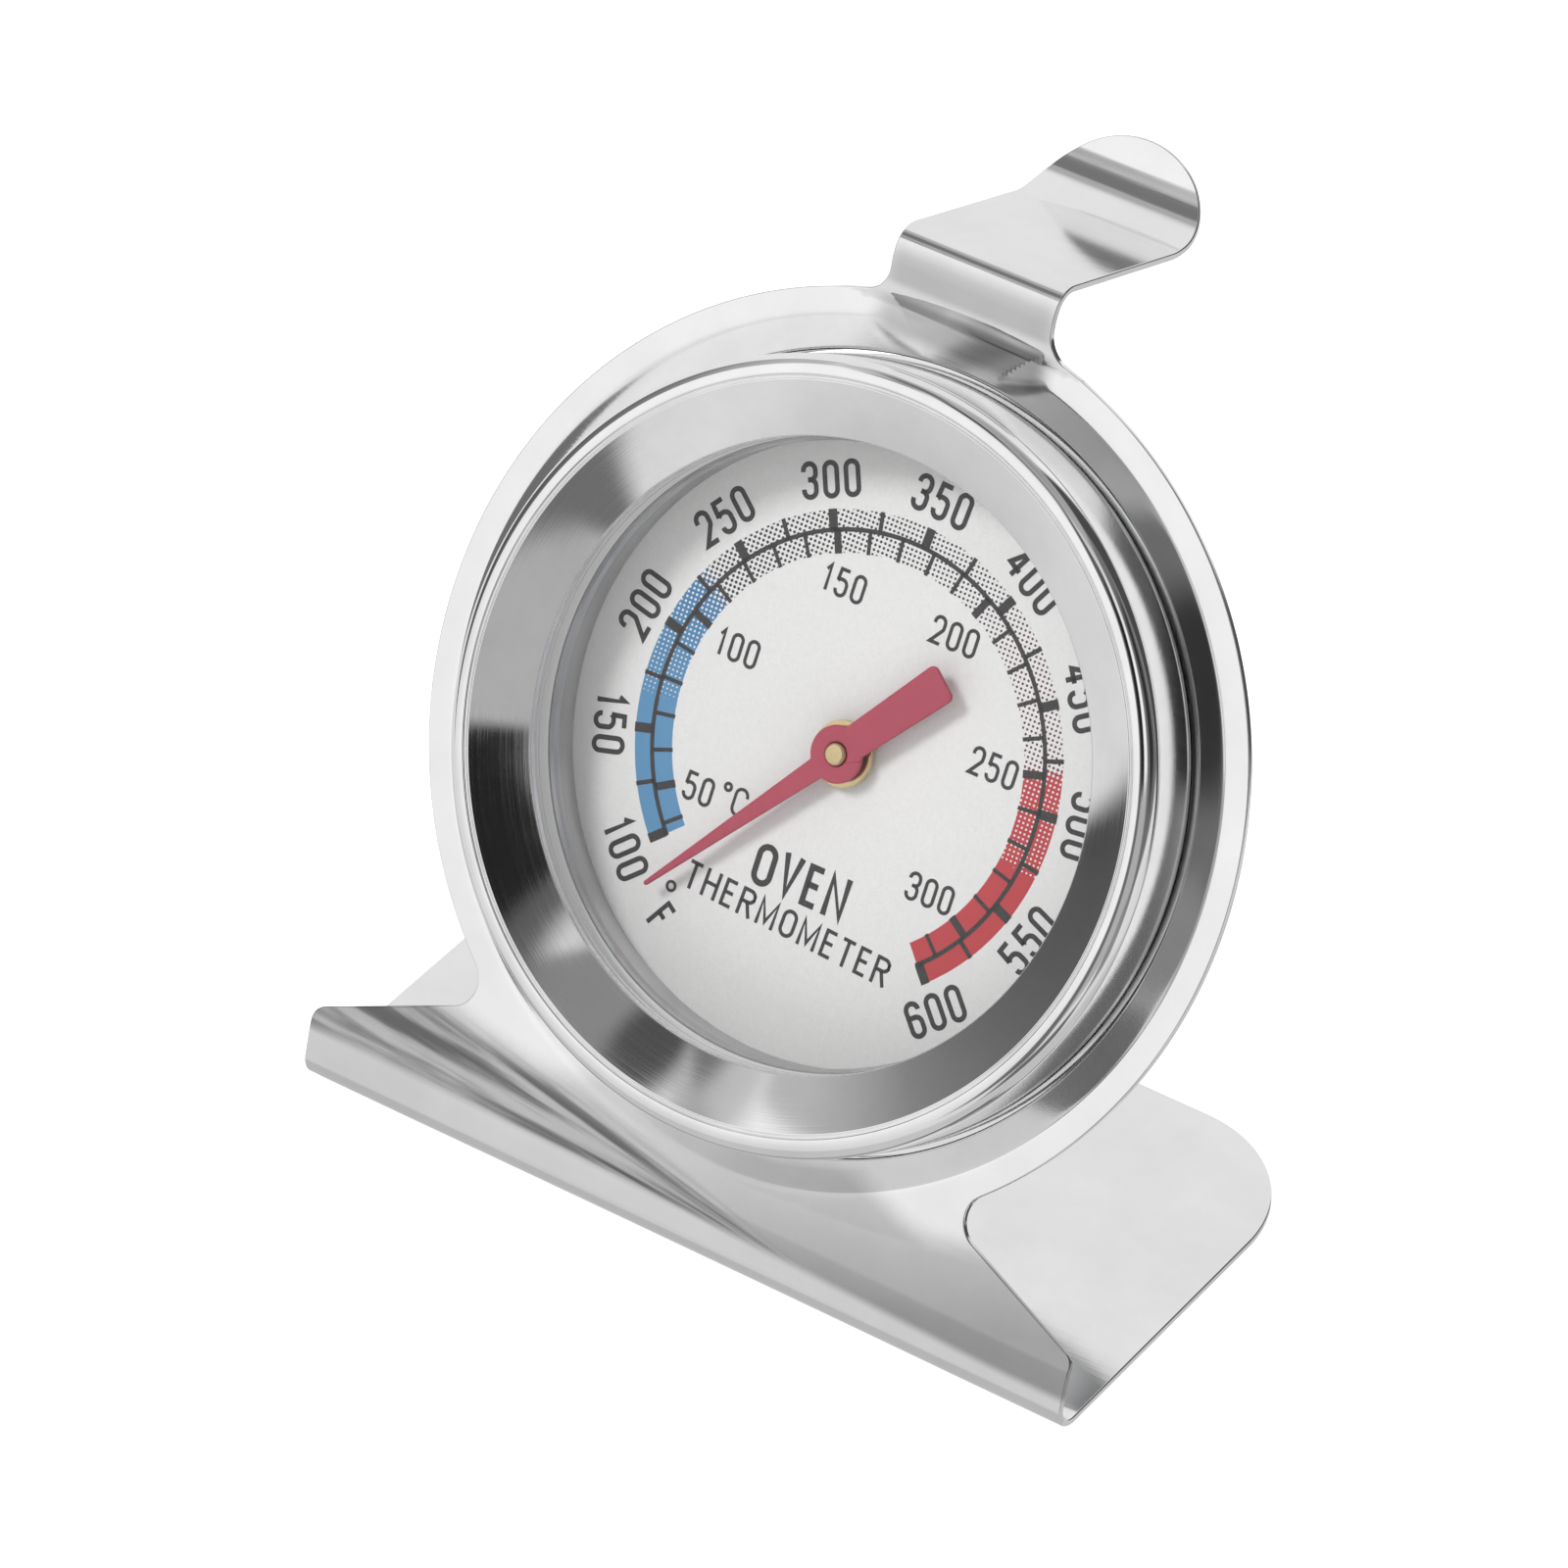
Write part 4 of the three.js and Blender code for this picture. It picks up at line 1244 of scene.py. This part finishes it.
class Sky(Nodes):
    """The studio's surroundings by direction: pale, with dark and grey patches.

    Only glossy rays see the patches. They are placed for what the main camera sees in the
    polished metal, and azimuths run from the front (-Y) towards +X, in degrees.
    """

    BASE = (
        (-90, 0.58),
        (-36, 0.58),
        (-27, 0.74),
        (-12, 0.76),
        (8, 0.86),
        (20, 0.98),
        (50, 0.96),
        (62, 0.8),
        (72, 0.45),
        (90, 0.3),
    )

    def __init__(self):
        world = bpy.data.worlds.new("studio")
        bpy.context.scene.world = world
        world.use_nodes = True
        super().__init__(world.node_tree)
        place = self.node("ShaderNodeTexCoord").outputs["Generated"]
        self.direction = self.node("ShaderNodeVectorMath", {0: place}, operation="NORMALIZE").outputs[0]
        split = self.node("ShaderNodeSeparateXYZ", {0: self.direction}).outputs
        ahead = self.times(split["Y"], -1)
        self.azimuth = self.maths("DEGREES", self.maths("ARCTAN2", split["X"], ahead))
        self.elevation = self.maths("DEGREES", self.maths("ARCSINE", split["Z"]))
        self.level = self.levels(self.elevation, self.BASE)

    def levels(self, value, stops):
        """Levels at angles in degrees, from -90 to 90."""
        scaled = self.maths("DIVIDE", self.plus(value, 90), 180)
        return self.ramp(scaled, [((angle + 90) / 180, grey(level)) for angle, level in stops])

    def window(self, value, low, high, soft):
        """1 between low and high, with edges `soft` wide."""
        rises = self.span(value, low - soft, low + soft, 0, 1, True)
        falls = self.span(value, high - soft, high + soft, 1, 0, True)
        return self.times(rises, falls)

    def lay(self, share, level):
        self.level = self.plus(self.level, self.times(share, self.minus(level, self.level)))

    def block(self, azimuths, elevations, soft, level):
        """A patch between two azimuths and two elevations; the level may be a node's output."""
        across = self.window(self.azimuth, *azimuths, soft)
        up = self.window(self.elevation, *elevations, soft)
        self.lay(self.times(across, up), level)

    def spot(self, azimuth, elevation, radius, soft, level):
        """A round patch, its radius and soft edge in degrees."""
        a, e = math.radians(azimuth), math.radians(elevation)
        towards = (math.sin(a) * math.cos(e), -math.cos(a) * math.cos(e), math.sin(e))
        inputs = {0: self.direction, 1: towards}
        dot = self.node("ShaderNodeVectorMath", inputs, operation="DOT_PRODUCT").outputs["Value"]
        far = self.maths("DEGREES", self.maths("ARCCOSINE", self.maths("MINIMUM", dot, 1)))
        self.lay(self.span(far, radius - soft, radius + soft, 1, 0, True), level)

    def hang(self):
        """Diffuse light is even; only the polished surfaces see the patches."""
        path = self.node("ShaderNodeLightPath").outputs
        plain = self.span(self.elevation, -90, 90, 0.52, 0.66, True)
        mixed = self.plus(plain, self.times(path["Is Glossy Ray"], self.minus(self.level, plain)))
        white = self.maths("MAXIMUM", mixed, path["Is Camera Ray"])
        self.put(self.tree.nodes["Background"].inputs["Color"], white)


def light_studio():
    sky = Sky()
    sky.block((3, 24), (-13, 50), 2.5, 0.16)
    sky.block((22, 62), (-5, 30), 2.5, 0.45)
    sky.block((22, 54), (-29, -15), 2, 0.15)
    sky.block((50, 72), (-17, 6), 2.5, 0.27)
    sky.block((60, 118), (2, 72), 3, 0.17)
    sky.block((77, 104), (15, 57), 6, 0.03)
    sky.block((118, 168), (-22, 72), 4, 0.07)
    sky.block((-34, 8), (61, 72), 2.5, 0.25)
    sky.block((-6, 30), (44, 62), 2.5, 0.11)
    sky.block((12, 36), (29.5, 56), 1.5, 0.015)
    sky.block((-98, -52), (50, 68), 2.5, 0.57)
    sky.block((-128, -108), (50, 70), 4, 0.6)
    sky.block((-108, -88), (54, 70), 4, 0.42)
    sky.block((-88, -58), (57.5, 70), 2, 0.18)
    sky.spot(-44, 66, 6, 2, 0.08)
    sky.spot(-53, 53, 4, 2, 0.3)
    sky.block((-190, -112), (-32, 10), 3, 0.82)
    sky.block((-190, -112), (10, 62), 3, 0.83)
    beside = sky.levels(
        sky.elevation,
        [(-14, 0.05), (-7, 0.09), (5, 0.12), (12, 0.15), (20, 0.19), (27, 0.25), (35, 0.39), (44, 0.5)],
    )
    sky.block((-108, -69.5), (-13.5, 50), 1.8, beside)
    sky.hang()
    lamp_data = bpy.data.lights.new("window light", "AREA")
    lamp_data.shape = "DISK"
    lamp_data.size = 0.25
    lamp_data.energy = 3.5
    lamp = bpy.data.objects.new("window light", lamp_data)
    bpy.context.scene.collection.objects.link(lamp)
    lamp.location = (-0.38, -0.42, 0.62)
    lamp.rotation_euler = (CENTRE - lamp.location).to_track_quat("-Z", "Y").to_euler()
    lamp.visible_glossy = False


def lay_floor():
    reach = 1.2
    mesh = bpy.data.meshes.new("table")
    corners = [(-reach, -reach, 0), (reach, -reach, 0), (reach, reach, 0), (-reach, reach, 0)]
    mesh.from_pydata(corners, [], [(0, 1, 2, 3)])
    floor = bpy.data.objects.new("table", mesh)
    bpy.context.scene.collection.objects.link(floor)
    floor.location.z = -0.00005
    shader = Shader("table top")
    cloud = shader.noise((0.004, 0.004, 0.004), detail=2)
    shader.set(
        Base_Color=shader.mix(cloud, grey(0.93), grey(0.96)),
        Roughness=0.9,
        Emission_Color=grey(1),
        Emission_Strength=0.6,
    )
    mesh.materials.append(shader.material)
    floor.visible_glossy = False


def aim_camera():
    data = bpy.data.cameras.new("camera")
    data.sensor_width = 36
    data.lens = 206
    data.clip_start = 0.01
    camera = bpy.data.objects.new("camera", data)
    bpy.context.scene.collection.objects.link(camera)
    place = Vector((252.92, -373.77, 385.48)) * MM
    target = Vector((-1.64, -2.56, 29.01)) * MM
    turn = (target - place).to_track_quat("-Z", "Y").to_matrix().to_4x4()
    roll = Matrix.Rotation(math.radians(0.78), 4, "Z")
    camera.matrix_world = Matrix.Translation(place) @ turn @ roll
    bpy.context.scene.camera = camera


# ---- Putting it together ---------------------------------------------------------------------

# The stand's stainless takes panel_shade: painted shade in its colour in place of reflections.
STAINLESS = polished_steel(
    "polished stainless", (0.935, 0.935, 0.935), 0.1, (0.35, 9, 9), 0.08, panel_shade
)
SPUN = turned_metal("spun stainless", (0.935, 0.935, 0.935), 0.08, 0.08, WINDOW_R)
INNER_WALL = turned_metal("satin inner ring", (0.66, 0.66, 0.665), 0.42, 0.1)
CASE_STEEL = turned_metal("drawn case steel", (0.72, 0.73, 0.74), 0.28, 0.12)
PLAIN_STEEL = polished_steel("plain steel", (0.6, 0.61, 0.62), 0.4, (0.6, 6, 6), 0.12)
BRASS = turned_metal("turned brass", (0.86, 0.68, 0.38), 0.22, 0.06)
BIMETAL = polished_steel("bimetal strip", (0.6, 0.5, 0.4), 0.35, (6, 0.6, 6), 0.1)
SEAL = rough_solid("seal", (0.55, 0.53, 0.5), 0.8, 4)
POINTER_RED = rough_solid("pointer paint", (0.42, 0.06, 0.10), 0.42, 5)
INK_PAINT = rough_solid("scale ink", INK[:3], 0.6, 6)
DIAL = dial_material()
LENS = lens_glass_material()


def show(piece, body, node, material):
    """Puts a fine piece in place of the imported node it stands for."""
    set_upright(piece)
    piece.data.materials.append(material)
    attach(piece, body)
    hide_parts(node)


def show_rings():
    show(seat_ring(), "housing", "lens_seat_ring", INNER_WALL)
    spacer = plain_ring("spacer_ring", WINDOW_R - 0.05, STACK_R, 1.1, 2.38, 0.03)
    show(spacer, "housing", "dial_spacer_ring", INNER_WALL)
    dial = plain_ring("enamelled_dial", 1.75, STACK_R, DIAL_FRONT, 2.9, 0.04)
    show(dial, "housing", "dial_plate", DIAL)


def show_case():
    show(drawn_cup(), "housing", "case_cup", CASE_STEEL)
    washer = plain_ring("retaining_washer", CASE_R + 0.3, 27.5, 2.6, 3.3, 0.12)
    show(washer, "housing", "case_retaining_ring", PLAIN_STEEL)
    dial_bush = turned_bush("turned_dial_bush", 2.2, 1.75, 2.1, 4.6)
    show(dial_bush, "housing", "dial_bush", BRASS)
    rear_bush = turned_bush("turned_rear_bush", 2.4, 10.1, 10.5, 11.9)
    show(rear_bush, "housing", "rear_bush", BRASS)
    for side, x in (("left", -RIVET_X), ("right", RIVET_X)):
        pin = rivet(f"{side}_rivet", x, 0, 0.8, 1.7, 9.1)
        show(pin, "housing", f"bridge_rivet_{side}", PLAIN_STEEL)
    anchor = rivet("anchor_pin", 0, ANCHOR_Z, 0.7, 1.4, 5.4)
    show(anchor, "housing", "coil_anchor_post", PLAIN_STEEL)


def show_pointer_arm():
    show(pointer_plate(), "pointer_arm", "pointer", POINTER_RED)
    radius, front, back = 0.75, 0.76, 11.6
    line = rounded([(0, front), (radius, front), (radius, back), (0, back)], {1: 0.2, 2: 0.1}, 20)
    show(turned("spindle_pin", line, 64, closed=False), "pointer_arm", "spindle", BRASS)


show(stamped_stand(), "housing", "stand_plate", STAINLESS)
show(bezel(), "housing", "bezel_ring", SPUN)
show_rings()
show_case()
show_pointer_arm()

for print_piece in (printed_scale(), printed_numbers()):
    set_upright(print_piece)
    print_piece.data.materials.append(INK_PAINT)
    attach(print_piece, "housing")

for node, material in {
    "lens_gasket": SEAL,
    "lens_glass": LENS,
    "dial_backing_ring": PLAIN_STEEL,
    "movement_bridge": PLAIN_STEEL,
    "bimetal_coil": BIMETAL,
    "spindle_clip": PLAIN_STEEL,
    "spindle_collar": BRASS,
}.items():
    mesh = frame["nodes"][node].data
    mesh.materials.clear()
    mesh.materials.append(material)

lay_floor()
light_studio()
aim_camera()
bpy.context.scene.view_settings.view_transform = "Standard"
